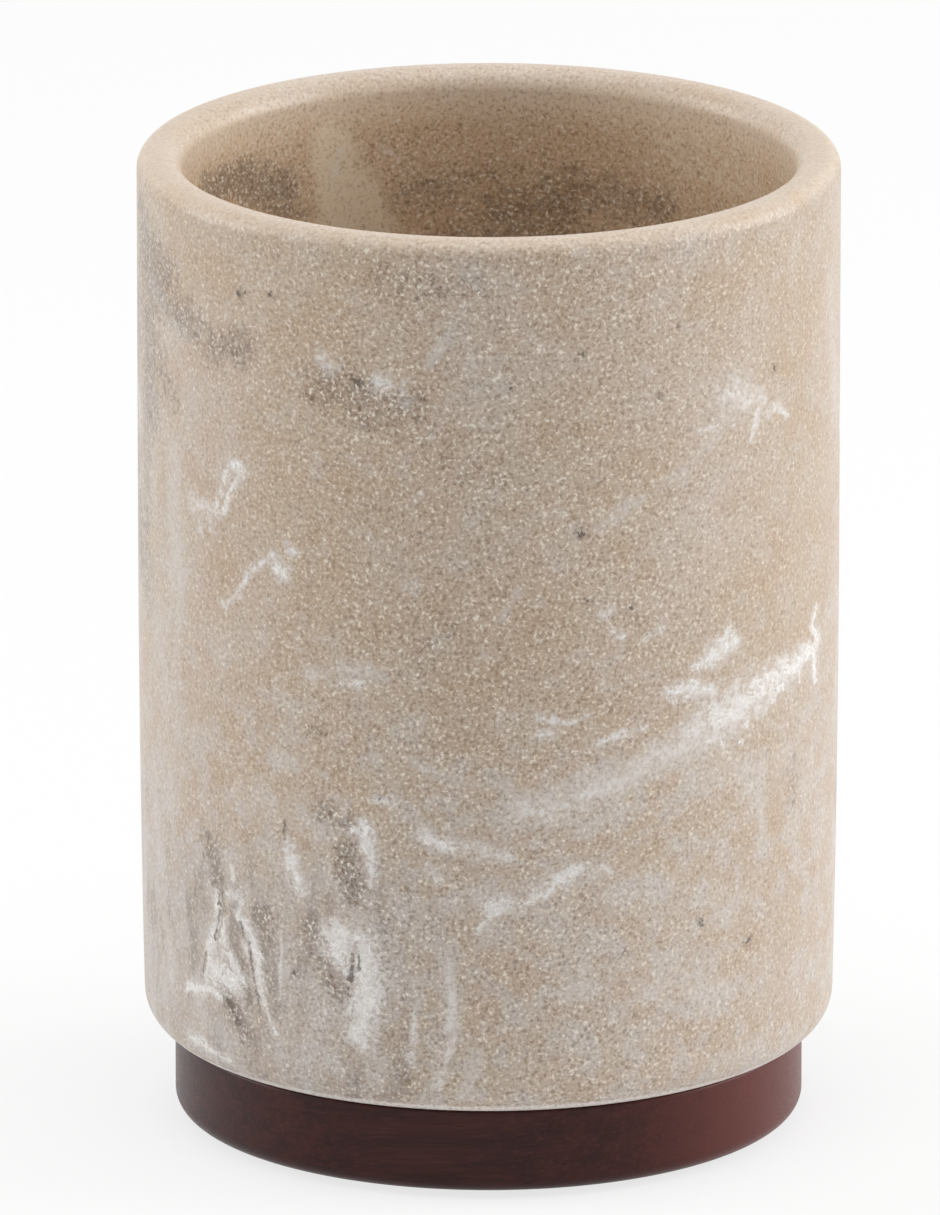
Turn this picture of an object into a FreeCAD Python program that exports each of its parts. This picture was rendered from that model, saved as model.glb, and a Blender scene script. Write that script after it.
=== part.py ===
import FreeCAD, Part
import math
import os

import Sketcher

# Bathroom tumbler: a cast stone-look resin cup bonded to a turned wooden base.
# Millimetres, +Z up, origin at the centre of the resting face, which is the
# underside of the foam foot. Every piece is round about the Z axis, and they
# are stacked from the table upwards: foot, wooden base, bonding film, cup.

# Driving sizes: name, value, what it measures.
SIZES = (
    ("cup_diameter", 75.0, "outside of the cup where its side is upright"),
    ("cup_height", 96.6, "underside of the cup to the top of its rim"),
    ("wall_thickness", 4.8, "cup wall at the rim"),
    ("floor_thickness", 8.0, "underside of the cup to the flat of the bore"),
    ("bore_corner_chamfer", 5.3, "slope between the bore and its floor"),
    ("side_draw", 0.6, "how far the side draws in on its way to the underside"),
    ("side_draw_height", 56.0, "height at which the side becomes upright"),
    ("heel_radius", 4.0, "rounding where the side turns under the cup"),
    ("rim_outer_radius", 1.8, "rounding outside the rim"),
    ("rim_inner_radius", 2.2, "rounding inside the rim"),
    ("base_inset", 3.8, "how far the wooden base stands in from the cup's side"),
    ("base_thickness", 9.3, "underside of the wooden base to its shoulder"),
    ("base_lower_chamfer", 1.1, "broken edge around the bottom of the base"),
    ("base_upper_chamfer", 0.4, "broken edge of the shoulder"),
    ("shoulder_width", 10.7, "ring of the base that carries the cup"),
    ("boss_height", 2.2, "turned boss above the shoulder, which centres the cup"),
    ("boss_chamfer", 0.5, "broken edge of the boss"),
    ("boss_clearance", 0.3, "gap around the boss in the cup's recess"),
    ("film_thickness", 0.3, "adhesive between the boss and the cup"),
    ("foot_margin", 7.3, "ring of the base that is left around the foot"),
    ("foot_clearance", 0.4, "gap around the foot in its recess"),
    ("foot_thickness", 1.8, "foam foot"),
    ("foot_proud", 0.6, "how far the foot stands out below the base"),
    ("cut_overrun", 2.0, "how far the bore's section runs past the rim"),
    ("rim_outer_share", 0.42, "most of a thin wall that the outer rounding takes"),
    ("rim_inner_share", 0.5, "most of a thin wall that the inner rounding takes"),
)

# Radii that several pieces share, worked out from the sizes above.
CUP_RADIUS = "Sizes.cup_diameter / 2"
BORE_RADIUS = CUP_RADIUS + " - Sizes.wall_thickness"
BASE_RADIUS = CUP_RADIUS + " - Sizes.base_inset"
BOSS_RADIUS = BASE_RADIUS + " - Sizes.shoulder_width"
SEAT_RADIUS = BOSS_RADIUS + " + Sizes.boss_clearance"
FILM_RADIUS = BOSS_RADIUS + " - Sizes.boss_chamfer"
FOOT_RECESS_RADIUS = BASE_RADIUS + " - Sizes.foot_margin"
FOOT_RADIUS = FOOT_RECESS_RADIUS + " - Sizes.foot_clearance"

# An edge is found by its radius and height, to this share of its radius.
MATCH_SHARE = 1e-5


def make_sheet(doc):
    """Write the driving sizes into a sheet, one aliased cell to a row."""
    sheet = doc.addObject("Spreadsheet::Sheet", "Sizes")
    for row, (name, value, meaning) in enumerate(SIZES, start=1):
        sheet.set("A%d" % row, name)
        sheet.set("B%d" % row, str(value))
        sheet.set("C%d" % row, meaning)
        sheet.setAlias("B%d" % row, name)
    doc.recompute()
    return sheet


def number(sheet, expression):
    """Value of an expression in the sheet's names, as a plain number."""
    return float(sheet.evalExpression(expression))


def add_body(doc, name, height):
    """Add a sub-part whose own zero stands at a height given by the sheet."""
    body = doc.addObject("PartDesign::Body", name)
    body.Label = name
    body.setExpression("Placement.Base.z", height)
    return body


def add_sketch(body, name, role):
    """Add a sketch on the origin plane of the body that has this role."""
    plane = [item for item in body.Origin.OriginFeatures if item.Role == role][0]
    sketch = body.newObject("Sketcher::SketchObject", name)
    sketch.AttachmentSupport = [(plane, "")]
    sketch.MapMode = "FlatFace"
    return sketch


def drive(sketch, name, constraint, expression):
    """Add a named dimension to a sketch and tie it to the sheet."""
    index = sketch.addConstraint(constraint)
    sketch.renameConstraint(index, name)
    sketch.setExpression("Constraints." + name, expression)


def place_end(sketch, name, edge, across=None, up=None):
    """Dimension the end of an edge from the origin, across and up."""
    end = sketch.getPoint(edge, 2)
    if across:
        rule = Sketcher.Constraint("DistanceX", -1, 1, edge, 2, end.x)
        drive(sketch, name + "_across", rule, across)
    if up:
        rule = Sketcher.Constraint("DistanceY", -1, 1, edge, 2, end.y)
        drive(sketch, name + "_up", rule, up)


def draw_profile(sketch, corners, centres=None, smooth=()):
    """Draw a closed half section through corners (radius, height).

    Corners run anticlockwise, and edge 0 leaves the first of them. centres
    gives the centre of each edge that is an arc. smooth lists the edges that
    run into the next one without a corner. Straight edges that start level or
    upright are kept so.
    """
    centres = centres or {}
    points = [FreeCAD.Vector(radius, height, 0) for radius, height in corners]
    count = len(points)
    for edge, start in enumerate(points):
        end = points[(edge + 1) % count]
        if edge in centres:
            centre = FreeCAD.Vector(centres[edge][0], centres[edge][1], 0)
            outwards = (start + end) / 2 - centre
            middle = centre + outwards.normalize() * (start - centre).Length
            sketch.addGeometry(Part.Arc(start, middle, end), False)
            continue
        sketch.addGeometry(Part.LineSegment(start, end), False)
        if start.y == end.y:
            sketch.addConstraint(Sketcher.Constraint("Horizontal", edge))
        if start.x == end.x:
            sketch.addConstraint(Sketcher.Constraint("Vertical", edge))
    for edge in range(count):
        kind = "Tangent" if edge in smooth else "Coincident"
        follower = (edge + 1) % count
        sketch.addConstraint(Sketcher.Constraint(kind, edge, 2, follower, 1))


def draw_circle(body, sheet, name, expression):
    """Sketch a circle about the body's axis with a driven radius."""
    sketch = add_sketch(body, name, "XY_Plane")
    radius = number(sheet, expression)
    centre = FreeCAD.Vector(0, 0, 0)
    circle = Part.Circle(centre, FreeCAD.Vector(0, 0, 1), radius)
    sketch.addGeometry(circle, False)
    sketch.addConstraint(Sketcher.Constraint("Coincident", 0, 3, -1, 1))
    rule = Sketcher.Constraint("Radius", 0, radius)
    drive(sketch, "radius", rule, expression)
    return sketch


def turn(body, kind, name, sketch):
    """Turn a half section right round the body's axis, as solid or as cut."""
    feature = body.newObject("PartDesign::" + kind, name)
    feature.Profile = (sketch, [""])
    feature.ReferenceAxis = (sketch, ["V_Axis"])
    feature.Angle = 360
    body.Document.recompute()
    return feature


def raise_sketch(body, kind, name, sketch, length):
    """Pad a sketch upwards, or pocket it upwards into the solid."""
    feature = body.newObject("PartDesign::" + kind, name)
    feature.Profile = (sketch, [""])
    feature.setExpression("Length", length)
    feature.Reversed = kind == "Pocket"
    body.Document.recompute()
    return feature


def must_cut(solid, cut):
    """Stop if a cut took nothing away from the solid before it."""
    if cut.Shape.Volume >= solid.Shape.Volume:
        raise RuntimeError(cut.Name + " cuts nothing")


def soften(body, kind, name, circle, expression):
    """Fillet or chamfer the circular edge of this radius and height."""
    radius, height = circle
    solid = body.Tip
    found = []
    for index, edge in enumerate(solid.Shape.Edges, start=1):
        if isinstance(edge.Curve, Part.Circle):
            off_radius = edge.Curve.Radius - radius
            off_height = edge.Curve.Center.z - height
            if math.hypot(off_radius, off_height) < MATCH_SHARE * radius:
                found.append("Edge%d" % index)
    if not found:
        raise RuntimeError(name + " finds no edge")
    feature = body.newObject("PartDesign::" + kind, name)
    feature.Base = (solid, found)
    size = "Radius" if kind == "Fillet" else "Size"
    feature.setExpression(size, expression)
    body.Document.recompute()
    return feature


def make_foot(doc, sheet):
    """Die-cut foam disc, stuck into the underside of the base."""
    body = add_body(doc, "foam_foot", "0")
    disc = draw_circle(body, sheet, "foot_disc", FOOT_RADIUS)
    raise_sketch(body, "Pad", "foot_pad", disc, "Sizes.foot_thickness")
    return body


def make_base(doc, sheet):
    """Turned wooden disc with a boss on top and a recess for the foot."""
    body = add_body(doc, "wooden_base", "Sizes.foot_proud")
    radius = number(sheet, BASE_RADIUS)
    boss = number(sheet, BOSS_RADIUS)
    shoulder = sheet.base_thickness
    top = shoulder + sheet.boss_height

    section = add_sketch(body, "base_section", "XZ_Plane")
    corners = [(0, 0), (radius, 0), (radius, shoulder)]
    corners += [(boss, shoulder), (boss, top), (0, top)]
    draw_profile(section, corners)
    section.addConstraint(Sketcher.Constraint("Coincident", 0, 1, -1, 1))
    place_end(section, "bottom", 0, across=BASE_RADIUS)
    place_end(section, "shoulder", 1, up="Sizes.base_thickness")
    place_end(section, "boss", 2, across=BOSS_RADIUS)
    boss_top = "Sizes.base_thickness + Sizes.boss_height"
    place_end(section, "boss_top", 3, up=boss_top)
    blank = turn(body, "Revolution", "base_blank", section)

    mouth = draw_circle(body, sheet, "foot_mouth", FOOT_RECESS_RADIUS)
    depth = "Sizes.foot_thickness - Sizes.foot_proud"
    must_cut(blank, raise_sketch(body, "Pocket", "foot_recess", mouth, depth))

    lower, upper = (radius, 0), (radius, shoulder)
    soften(body, "Chamfer", "lower_edge", lower, "Sizes.base_lower_chamfer")
    soften(body, "Chamfer", "upper_edge", upper, "Sizes.base_upper_chamfer")
    soften(body, "Chamfer", "boss_edge", (boss, top), "Sizes.boss_chamfer")
    return body


def make_film(doc, sheet):
    """Hardened adhesive that fills the space above the flat of the boss."""
    height = "Sizes.foot_proud + Sizes.base_thickness + Sizes.boss_height"
    body = add_body(doc, "bonding_film", height)
    disc = draw_circle(body, sheet, "film_disc", FILM_RADIUS)
    raise_sketch(body, "Pad", "film_pad", disc, "Sizes.film_thickness")
    return body


def draw_cup_outline(body, sheet):
    """Half section of the cup's outside.

    The upright upper side runs into a long arc that draws in towards the
    underside, and that runs into the heel, a short arc that turns under.
    """
    radius = number(sheet, CUP_RADIUS)
    height, bend = sheet.cup_height, sheet.side_draw_height
    heel, draw = sheet.heel_radius, sheet.side_draw

    side_radius = (bend ** 2 + draw ** 2) / (2 * draw)
    side_centre = FreeCAD.Vector(radius - side_radius, bend, 0)
    heel_across = math.sqrt((side_radius - heel) ** 2 - (bend - heel) ** 2)
    heel_centre = FreeCAD.Vector(side_centre.x + heel_across, heel, 0)
    towards_heel = (heel_centre - side_centre).normalize()
    heel_end = side_centre + towards_heel * side_radius

    outline = add_sketch(body, "cup_outline", "XZ_Plane")
    corners = [(0, 0), (heel_centre.x, 0), (heel_end.x, heel_end.y)]
    corners += [(radius, bend), (radius, height), (0, height)]
    arcs = {1: (heel_centre.x, heel_centre.y), 2: (side_centre.x, side_centre.y)}
    draw_profile(outline, corners, centres=arcs, smooth=(0, 1, 2))
    outline.addConstraint(Sketcher.Constraint("Coincident", 0, 1, -1, 1))
    heel_rule = Sketcher.Constraint("Radius", 1, heel)
    drive(outline, "heel_radius", heel_rule, "Sizes.heel_radius")
    square_sum = "Sizes.side_draw_height ^ 2 + Sizes.side_draw ^ 2"
    side_rule = Sketcher.Constraint("Radius", 2, side_radius)
    sweep = "(%s) / (2 * Sizes.side_draw)" % square_sum
    drive(outline, "side_radius", side_rule, sweep)
    place_end(outline, "bend", 2, across=CUP_RADIUS, up="Sizes.side_draw_height")
    place_end(outline, "rim", 3, up="Sizes.cup_height")
    return outline


def draw_bore(body, sheet):
    """Half section of the straight bore, from its floor past the rim."""
    radius = number(sheet, BORE_RADIUS)
    floor = sheet.floor_thickness
    top = sheet.cup_height + sheet.cut_overrun

    bore = add_sketch(body, "bore_section", "XZ_Plane")
    draw_profile(bore, [(0, floor), (radius, floor), (radius, top), (0, top)])
    bore.addConstraint(Sketcher.Constraint("PointOnObject", 0, 1, -2))
    floor_up = "Sizes.floor_thickness"
    place_end(bore, "floor", 0, across=BORE_RADIUS, up=floor_up)
    place_end(bore, "top", 1, up="Sizes.cup_height + Sizes.cut_overrun")
    return bore


def make_cup(doc, sheet):
    """Cast cup: turned outside, straight bore, recess for the base's boss."""
    body = add_body(doc, "resin_cup", "Sizes.foot_proud + Sizes.base_thickness")
    blank = turn(body, "Revolution", "cup_blank", draw_cup_outline(body, sheet))
    bore = turn(body, "Groove", "cup_bore", draw_bore(body, sheet))
    must_cut(blank, bore)

    seat = draw_circle(body, sheet, "seat_mouth", SEAT_RADIUS)
    depth = "Sizes.boss_height + Sizes.film_thickness"
    must_cut(bore, raise_sketch(body, "Pocket", "seat_recess", seat, depth))

    corner = (number(sheet, BORE_RADIUS), sheet.floor_thickness)
    soften(body, "Chamfer", "bore_corner", corner, "Sizes.bore_corner_chamfer")
    wall = "Sizes.wall_thickness"
    outer = "min(Sizes.rim_outer_radius; %s * Sizes.rim_outer_share)" % wall
    inner = "min(Sizes.rim_inner_radius; %s * Sizes.rim_inner_share)" % wall
    outside = (number(sheet, CUP_RADIUS), sheet.cup_height)
    inside = (number(sheet, BORE_RADIUS), sheet.cup_height)
    soften(body, "Fillet", "rim_outside", outside, outer)
    soften(body, "Fillet", "rim_inside", inside, inner)
    return body


def check(doc, bodies):
    """Stop unless every object is sound and every sub-part is one solid."""
    for item in doc.Objects:
        if "Invalid" in item.State or "Error" in item.State:
            raise RuntimeError(item.Name + " failed: " + ", ".join(item.State))
        if item.isDerivedFrom("Sketcher::SketchObject") and not item.FullyConstrained:
            raise RuntimeError(item.Name + " is not fully constrained")
    for body in bodies:
        shape = body.Shape
        if shape.isNull() or not shape.isValid() or len(shape.Solids) != 1:
            raise RuntimeError(body.Label + " is not one valid solid")


def main():
    doc = FreeCAD.newDocument("Tumbler")
    sheet = make_sheet(doc)
    makers = (make_foot, make_base, make_film, make_cup)
    bodies = [make(doc, sheet) for make in makers]
    doc.recompute()
    check(doc, bodies)

    os.makedirs("parts", exist_ok=True)
    for body in bodies:
        box = body.Shape.optimalBoundingBox(False)
        reach = (body.Label, box.XLength, box.ZMin, box.ZMax)
        print("%-12s %.1f across, z %.1f to %.1f" % reach)
        body.Shape.exportStep("parts/%s.step" % body.Label)


main()
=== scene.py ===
# %% [markdown]
# # A cast tumbler on a turned wooden base
# The object is small and simple, so nearly all of the work goes into its surfaces. The cup
# is cast from resin that is filled with ground stone, and its skin shows cream specks, brown
# grains, soft white wisps and a few dark smudges. The base is a stained wooden disc. The
# lesson turns three of the four pieces, paints all four with procedural materials, and lights
# them softly.

# %% Load the imported model
import math

import bmesh
import bpy
import mathutils
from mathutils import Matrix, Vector


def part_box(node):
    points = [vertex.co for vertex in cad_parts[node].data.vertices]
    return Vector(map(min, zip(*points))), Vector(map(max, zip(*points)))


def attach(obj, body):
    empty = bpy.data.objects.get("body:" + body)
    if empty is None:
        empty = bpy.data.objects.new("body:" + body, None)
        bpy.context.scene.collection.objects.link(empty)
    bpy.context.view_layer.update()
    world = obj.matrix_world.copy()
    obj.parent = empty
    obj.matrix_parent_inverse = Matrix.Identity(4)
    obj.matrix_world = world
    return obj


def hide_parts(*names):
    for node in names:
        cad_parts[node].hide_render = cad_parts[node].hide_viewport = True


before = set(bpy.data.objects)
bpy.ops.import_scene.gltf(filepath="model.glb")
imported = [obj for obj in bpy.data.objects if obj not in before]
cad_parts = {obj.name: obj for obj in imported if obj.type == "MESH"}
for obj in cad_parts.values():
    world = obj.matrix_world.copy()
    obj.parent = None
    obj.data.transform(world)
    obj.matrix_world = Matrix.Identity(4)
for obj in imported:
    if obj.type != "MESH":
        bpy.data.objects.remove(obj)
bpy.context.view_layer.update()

MM = 0.001
NODES = ("resin_cup", "wooden_base", "bonding_film", "foam_foot")
for node_name in NODES:
    low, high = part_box(node_name)
    sizes_mm = [round(size / MM, 2) for size in (high.x - low.x, low.z, high.z)]
    print(node_name, "width, lower and upper height in mm:", *sizes_mm)

# %% [markdown]
# ## Turning a piece
# Every piece here is round about the Z axis. A round piece could start from a cylinder that
# is pushed into shape, but a turner thinks in profiles. So a few corner points of half the
# section are joined by edges and spun right round, and the corners are bevelled afterwards.
# A bevel on a ring of edges gives a true rounding, because the profile of 0.5 is an arc.

# %% Spin a section about the axis
TURN_STEPS = 240
NEAR = 1e-6


def spin_section(corners):
    """Spin corners (radius, height) about the Z axis and close the poles."""
    bm = bmesh.new()
    row = [bm.verts.new((radius, 0, height)) for radius, height in corners]
    for start, end in zip(row, row[1:]):
        bm.edges.new((start, end))
    section = bm.verts[:] + bm.edges[:]
    bmesh.ops.spin(bm, geom=section, cent=(0, 0, 0), axis=(0, 0, 1), angle=2 * math.pi,
                   steps=TURN_STEPS, use_merge=True)
    bmesh.ops.remove_doubles(bm, verts=bm.verts[:], dist=NEAR)
    bmesh.ops.recalc_face_normals(bm, faces=bm.faces[:])
    return bm


print("each section is spun in", TURN_STEPS, "steps")

# %% Round a ring of edges
def round_ring(bm, radius, height, size, segments):
    """Bevel the ring of edges that lies at this radius and height."""
    def on_ring(vert):
        return abs(vert.co.xy.length - radius) < NEAR and abs(vert.co.z - height) < NEAR

    ring = [edge for edge in bm.edges if all(on_ring(vert) for vert in edge.verts)]
    bmesh.ops.bevel(bm, geom=ring, offset=size, offset_type="OFFSET", segments=segments,
                    profile=0.5, affect="EDGES", clamp_overlap=True, material=-1)


# %% Make it a piece of the model
def to_piece(bm, name, node):
    """Turn the finished bmesh into an object that stands for a CAD node."""
    bmesh.ops.recalc_face_normals(bm, faces=bm.faces[:])
    for face in bm.faces:
        face.smooth = True
    mesh = bpy.data.meshes.new(name)
    bm.to_mesh(mesh)
    bm.free()
    piece = bpy.data.objects.new(name, mesh)
    bpy.context.scene.collection.objects.link(piece)
    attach(piece, "root")
    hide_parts(node)
    print(name, "has", sum(len(polygon.vertices) - 2 for polygon in mesh.polygons), "triangles")
    return piece


# %% [markdown]
# ## The cup
# The real cup is cast in one piece: a thick wall, a rim that is rounded on both sides, and a
# side that draws in a little before it turns under in a soft heel. It could be a cylinder
# with a Solidify modifier, but then wall, floor and rim would all share one thickness. The
# spun section holds them apart. Both sides of its wall have a corner every 0.9 mm or less.
# That gives the pattern small faces to sit on, and the lower side rings that can be pulled
# inwards along a long arc, which is its draw.

# %% Turn the cup
cup_low, cup_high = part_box("resin_cup")
CUP_RADIUS = cup_high.x
CUP_BOTTOM, CUP_TOP = cup_low.z, cup_high.z
WALL = 4.8 * MM
BORE_RADIUS = CUP_RADIUS - WALL
BORE_FLOOR = CUP_BOTTOM + 8 * MM
SEAT_RADIUS, SEAT_DEPTH = 23.3 * MM, 2.5 * MM
RIM_OUTSIDE, RIM_INSIDE, BORE_CORNER, HEEL = 1.8 * MM, 2.2 * MM, 9 * MM, 4 * MM
SEAT_EDGE = 0.3 * MM
SIDE_DRAW, DRAW_HEIGHT = 0.6 * MM, 56 * MM
RING_STEP = 0.9 * MM
CLEAR = 0.2 * MM


def wall_rings(radius, low, high):
    """Corners up a straight wall, one for each ring, clear of the roundings at its ends."""
    low, high = low + CLEAR, high - CLEAR
    count = math.ceil((high - low) / RING_STEP)
    return [(radius, low + (high - low) * ring / count) for ring in range(count + 1)]


seat_top = CUP_BOTTOM + SEAT_DEPTH
outer_side = wall_rings(CUP_RADIUS, CUP_BOTTOM + HEEL, CUP_TOP - RIM_OUTSIDE)
bore_side = wall_rings(BORE_RADIUS, BORE_FLOOR + BORE_CORNER, CUP_TOP - RIM_INSIDE)
cup = spin_section([
    (0, seat_top), (SEAT_RADIUS, seat_top), (SEAT_RADIUS, CUP_BOTTOM),
    (SEAT_RADIUS + 2 * SEAT_EDGE, CUP_BOTTOM), (CUP_RADIUS - HEEL - CLEAR, CUP_BOTTOM),
    (CUP_RADIUS, CUP_BOTTOM), *outer_side, (CUP_RADIUS, CUP_TOP),
    (BORE_RADIUS, CUP_TOP), *reversed(bore_side), (BORE_RADIUS, BORE_FLOOR),
    (BORE_RADIUS - BORE_CORNER - CLEAR, BORE_FLOOR), (0, BORE_FLOOR)])
round_ring(cup, CUP_RADIUS, CUP_TOP, RIM_OUTSIDE, 10)
round_ring(cup, BORE_RADIUS, CUP_TOP, RIM_INSIDE, 10)
round_ring(cup, BORE_RADIUS, BORE_FLOOR, BORE_CORNER, 12)
round_ring(cup, CUP_RADIUS, CUP_BOTTOM, HEEL, 12)
round_ring(cup, SEAT_RADIUS, CUP_BOTTOM, SEAT_EDGE, 2)
round_ring(cup, SEAT_RADIUS, seat_top, SEAT_EDGE, 2)
print("rings up the outside:", len(outer_side), "and up the bore:", len(bore_side))

# %% Draw the lower side in
draw_top = CUP_BOTTOM + DRAW_HEIGHT
draw_arc = (DRAW_HEIGHT ** 2 + SIDE_DRAW ** 2) / (2 * SIDE_DRAW)
for vert in cup.verts:
    radius, drop = vert.co.xy.length, draw_top - vert.co.z
    if radius > CUP_RADIUS - HEEL - NEAR and drop > 0:
        inwards = draw_arc - math.sqrt(draw_arc ** 2 - drop ** 2)
        vert.co.xy *= (radius - inwards) / radius
cup_piece = to_piece(cup, "cast_cup", "resin_cup")
print("the side is drawn in by", SIDE_DRAW / MM, "mm at its foot")

# %% [markdown]
# ## The base
# The real base is a disc that was turned from a board. A boss on top finds its place in the
# cup, and a shallow recess underneath takes the foam foot. A scaled cylinder would show the
# right outline from the front only, so this piece is spun as well, with the boss and the
# recess in its section. Its lower edge has a full rounding, and its shoulder is just broken.
# A ring is cut beside each of the two, so that the shading between them stays even.

# %% Cut a ring all round
def cut_level(bm, height):
    """Add a ring of edges all round the piece at this height."""
    geometry = bm.verts[:] + bm.edges[:] + bm.faces[:]
    bmesh.ops.bisect_plane(bm, geom=geometry, dist=NEAR, plane_co=(0, 0, height), plane_no=(0, 0, 1))


# %% Turn the base
base_low, base_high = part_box("wooden_base")
foot_low, foot_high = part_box("foam_foot")
BASE_RADIUS = base_high.x
SHOULDER = CUP_BOTTOM
BOSS_RADIUS = SEAT_RADIUS - 0.3 * MM
RECESS_RADIUS = foot_high.x + 0.4 * MM
BASE_LOWER, BASE_UPPER, BOSS_EDGE, RECESS_EDGE = 1.9 * MM, 0.4 * MM, 0.5 * MM, 0.3 * MM

base = spin_section([
    (0, foot_high.z), (RECESS_RADIUS, foot_high.z), (RECESS_RADIUS, base_low.z),
    (BASE_RADIUS, base_low.z), (BASE_RADIUS, SHOULDER), (BOSS_RADIUS, SHOULDER),
    (BOSS_RADIUS, base_high.z), (0, base_high.z)])
round_ring(base, BASE_RADIUS, base_low.z, BASE_LOWER, 12)
round_ring(base, BASE_RADIUS, SHOULDER, BASE_UPPER, 5)
round_ring(base, BOSS_RADIUS, base_high.z, BOSS_EDGE, 3)
round_ring(base, RECESS_RADIUS, base_low.z, RECESS_EDGE, 3)
cut_level(base, base_low.z + BASE_LOWER + BASE_UPPER)
cut_level(base, SHOULDER - 2 * BASE_UPPER)
base_piece = to_piece(base, "turned_base", "wooden_base")

# %% [markdown]
# ## The foam foot
# A die-cut foam disc isn't quite flat. Its cut edge is soft, and its skin dips a little
# where the glue holds it. A Displace modifier could do that, but a disc that starts as a spun
# section with several rings can be dished by its own vertices, and stays light.

# %% Cut a ring on a level face
def cut_tube(bm, radius):
    """Add a ring on each level face, where it crosses this radius."""
    crossing = []
    for edge in bm.edges:
        first, second = (vert.co.xy.length for vert in edge.verts)
        level = abs(edge.verts[0].co.z - edge.verts[1].co.z) < NEAR
        if level and min(first, second) < radius - NEAR and max(first, second) > radius + NEAR:
            crossing.append(edge)
    made = bmesh.ops.subdivide_edges(bm, edges=crossing, cuts=1)
    for item in made["geom_inner"]:
        if isinstance(item, bmesh.types.BMVert):
            item.co.xy = item.co.xy.normalized() * radius


# %% Cut the foam foot
FOOT_EDGE = 0.35 * MM
FOOT_RINGS = 8
FOOT_DIP = 0.12 * MM
FOOT_RADIUS = foot_high.x
foot = spin_section([
    (0, foot_low.z), (FOOT_RADIUS, foot_low.z), (FOOT_RADIUS, foot_high.z), (0, foot_high.z)])
round_ring(foot, FOOT_RADIUS, foot_low.z, FOOT_EDGE, 4)
round_ring(foot, FOOT_RADIUS, foot_high.z, FOOT_EDGE / 2, 2)
for ring in range(1, FOOT_RINGS):
    cut_tube(foot, FOOT_RADIUS * ring / FOOT_RINGS)
for vert in foot.verts:
    if abs(vert.co.z - foot_low.z) < NEAR:
        share = vert.co.xy.length / FOOT_RADIUS
        vert.co.z += FOOT_DIP * math.cos(share * math.pi / 2) ** 2
foot_piece = to_piece(foot, "foam_disc", "foam_foot")

# %% [markdown]
# ## Node helpers
# A material can be clicked together in the editor, but a script needs words for it. One
# helper adds a node, sets its options and fills its inputs, where a value that is a socket
# becomes a link. The others are short names for the nodes that are used most.

# %% Add a node
def put(tree, kind, inputs=None, **options):
    """Add a node, set its options, and fill its inputs with values or links."""
    node = tree.nodes.new("ShaderNode" + kind)
    for name, value in options.items():
        setattr(node, name, value)
    for name, value in (inputs or {}).items():
        if isinstance(value, bpy.types.NodeSocket):
            tree.links.new(value, node.inputs[name])
        else:
            node.inputs[name].default_value = value
    return node


# %% Sums of values and of vectors
def sums(tree, operation, *values, clamp=False):
    """A Math node on the values, as its output socket."""
    inputs = dict(enumerate(values))
    return put(tree, "Math", inputs, operation=operation, use_clamp=clamp).outputs["Value"]


def product(tree, first, *others):
    """The values multiplied one after another."""
    for other in others:
        first = sums(tree, "MULTIPLY", first, other)
    return first


def vectors(tree, operation, *values):
    """A Vector Math node on the values, as its output socket."""
    result = "Value" if operation in ("DOT_PRODUCT", "LENGTH", "DISTANCE") else "Vector"
    return put(tree, "VectorMath", dict(enumerate(values)), operation=operation).outputs[result]


def scaled(tree, vector, factor):
    """A vector times one number."""
    return put(tree, "VectorMath", {0: vector, "Scale": factor}, operation="SCALE").outputs["Vector"]


# %% Steps and noise
NOISE_VALUE, NOISE_COLOUR = 0, 1


def ease(tree, value, low, high, bottom=0.0, top=1.0):
    """A soft step from bottom to top while the value goes from low to high."""
    inputs = {"Value": value, "From Min": low, "From Max": high, "To Min": bottom, "To Max": top}
    return put(tree, "MapRange", inputs, interpolation_type="SMOOTHSTEP").outputs["Result"]


def noise(tree, place, scale, detail=2.0, roughness=0.5, distortion=0.0, output=NOISE_VALUE):
    """Noise at a place, from about 0.2 to 0.8."""
    inputs = {"Vector": place, "Scale": scale, "Detail": detail, "Roughness": roughness,
              "Distortion": distortion}
    return put(tree, "TexNoise", inputs).outputs[output]


# %% Colours
MIX_SHARE, MIX_UNDER, MIX_OVER, MIX_RESULT = 0, 6, 7, 2


def seen(red, green, blue):
    """A colour as a screen shows it, from 0 to 255, turned into the shader's linear colour."""
    def linear(value):
        share = value / 255
        return share / 12.92 if share <= 0.04045 else ((share + 0.055) / 1.055) ** 2.4

    return (linear(red), linear(green), linear(blue), 1.0)


def mix(tree, share, under, over):
    """Two colours mixed by a share."""
    inputs = {MIX_SHARE: share, MIX_UNDER: under, MIX_OVER: over}
    return put(tree, "Mix", inputs, data_type="RGBA").outputs[MIX_RESULT]


print("a screen's middle grey is", round(seen(128, 128, 128)[0], 3), "in the shader")

# %% [markdown]
# ## Shared effects
# Stone, wood and foam all drift in tone over a few centimetres, and all have a fine tooth
# that breaks up their gloss. The nodes for that could be copied into each material. As node
# groups they are built once and placed in each with its own sizes, so that the finishes look
# as if they were handled alike, and a change reaches all of them.

# %% Make and place a node group
def new_group(name, inputs, outputs):
    """An empty node group with named inputs (name, kind, value) and outputs (name, kind)."""
    group = bpy.data.node_groups.new(name, "ShaderNodeTree")
    for label, kind, value in inputs:
        socket = group.interface.new_socket(label, in_out="INPUT", socket_type="NodeSocket" + kind)
        socket.default_value = value
    for label, kind in outputs:
        group.interface.new_socket(label, in_out="OUTPUT", socket_type="NodeSocket" + kind)
    given = group.nodes.new("NodeGroupInput").outputs
    result = group.nodes.new("NodeGroupOutput").inputs
    return group, given, result


def use_group(tree, group, inputs):
    """Place a node group in a material and return its outputs."""
    return put(tree, "Group", inputs, node_tree=group).outputs


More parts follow.
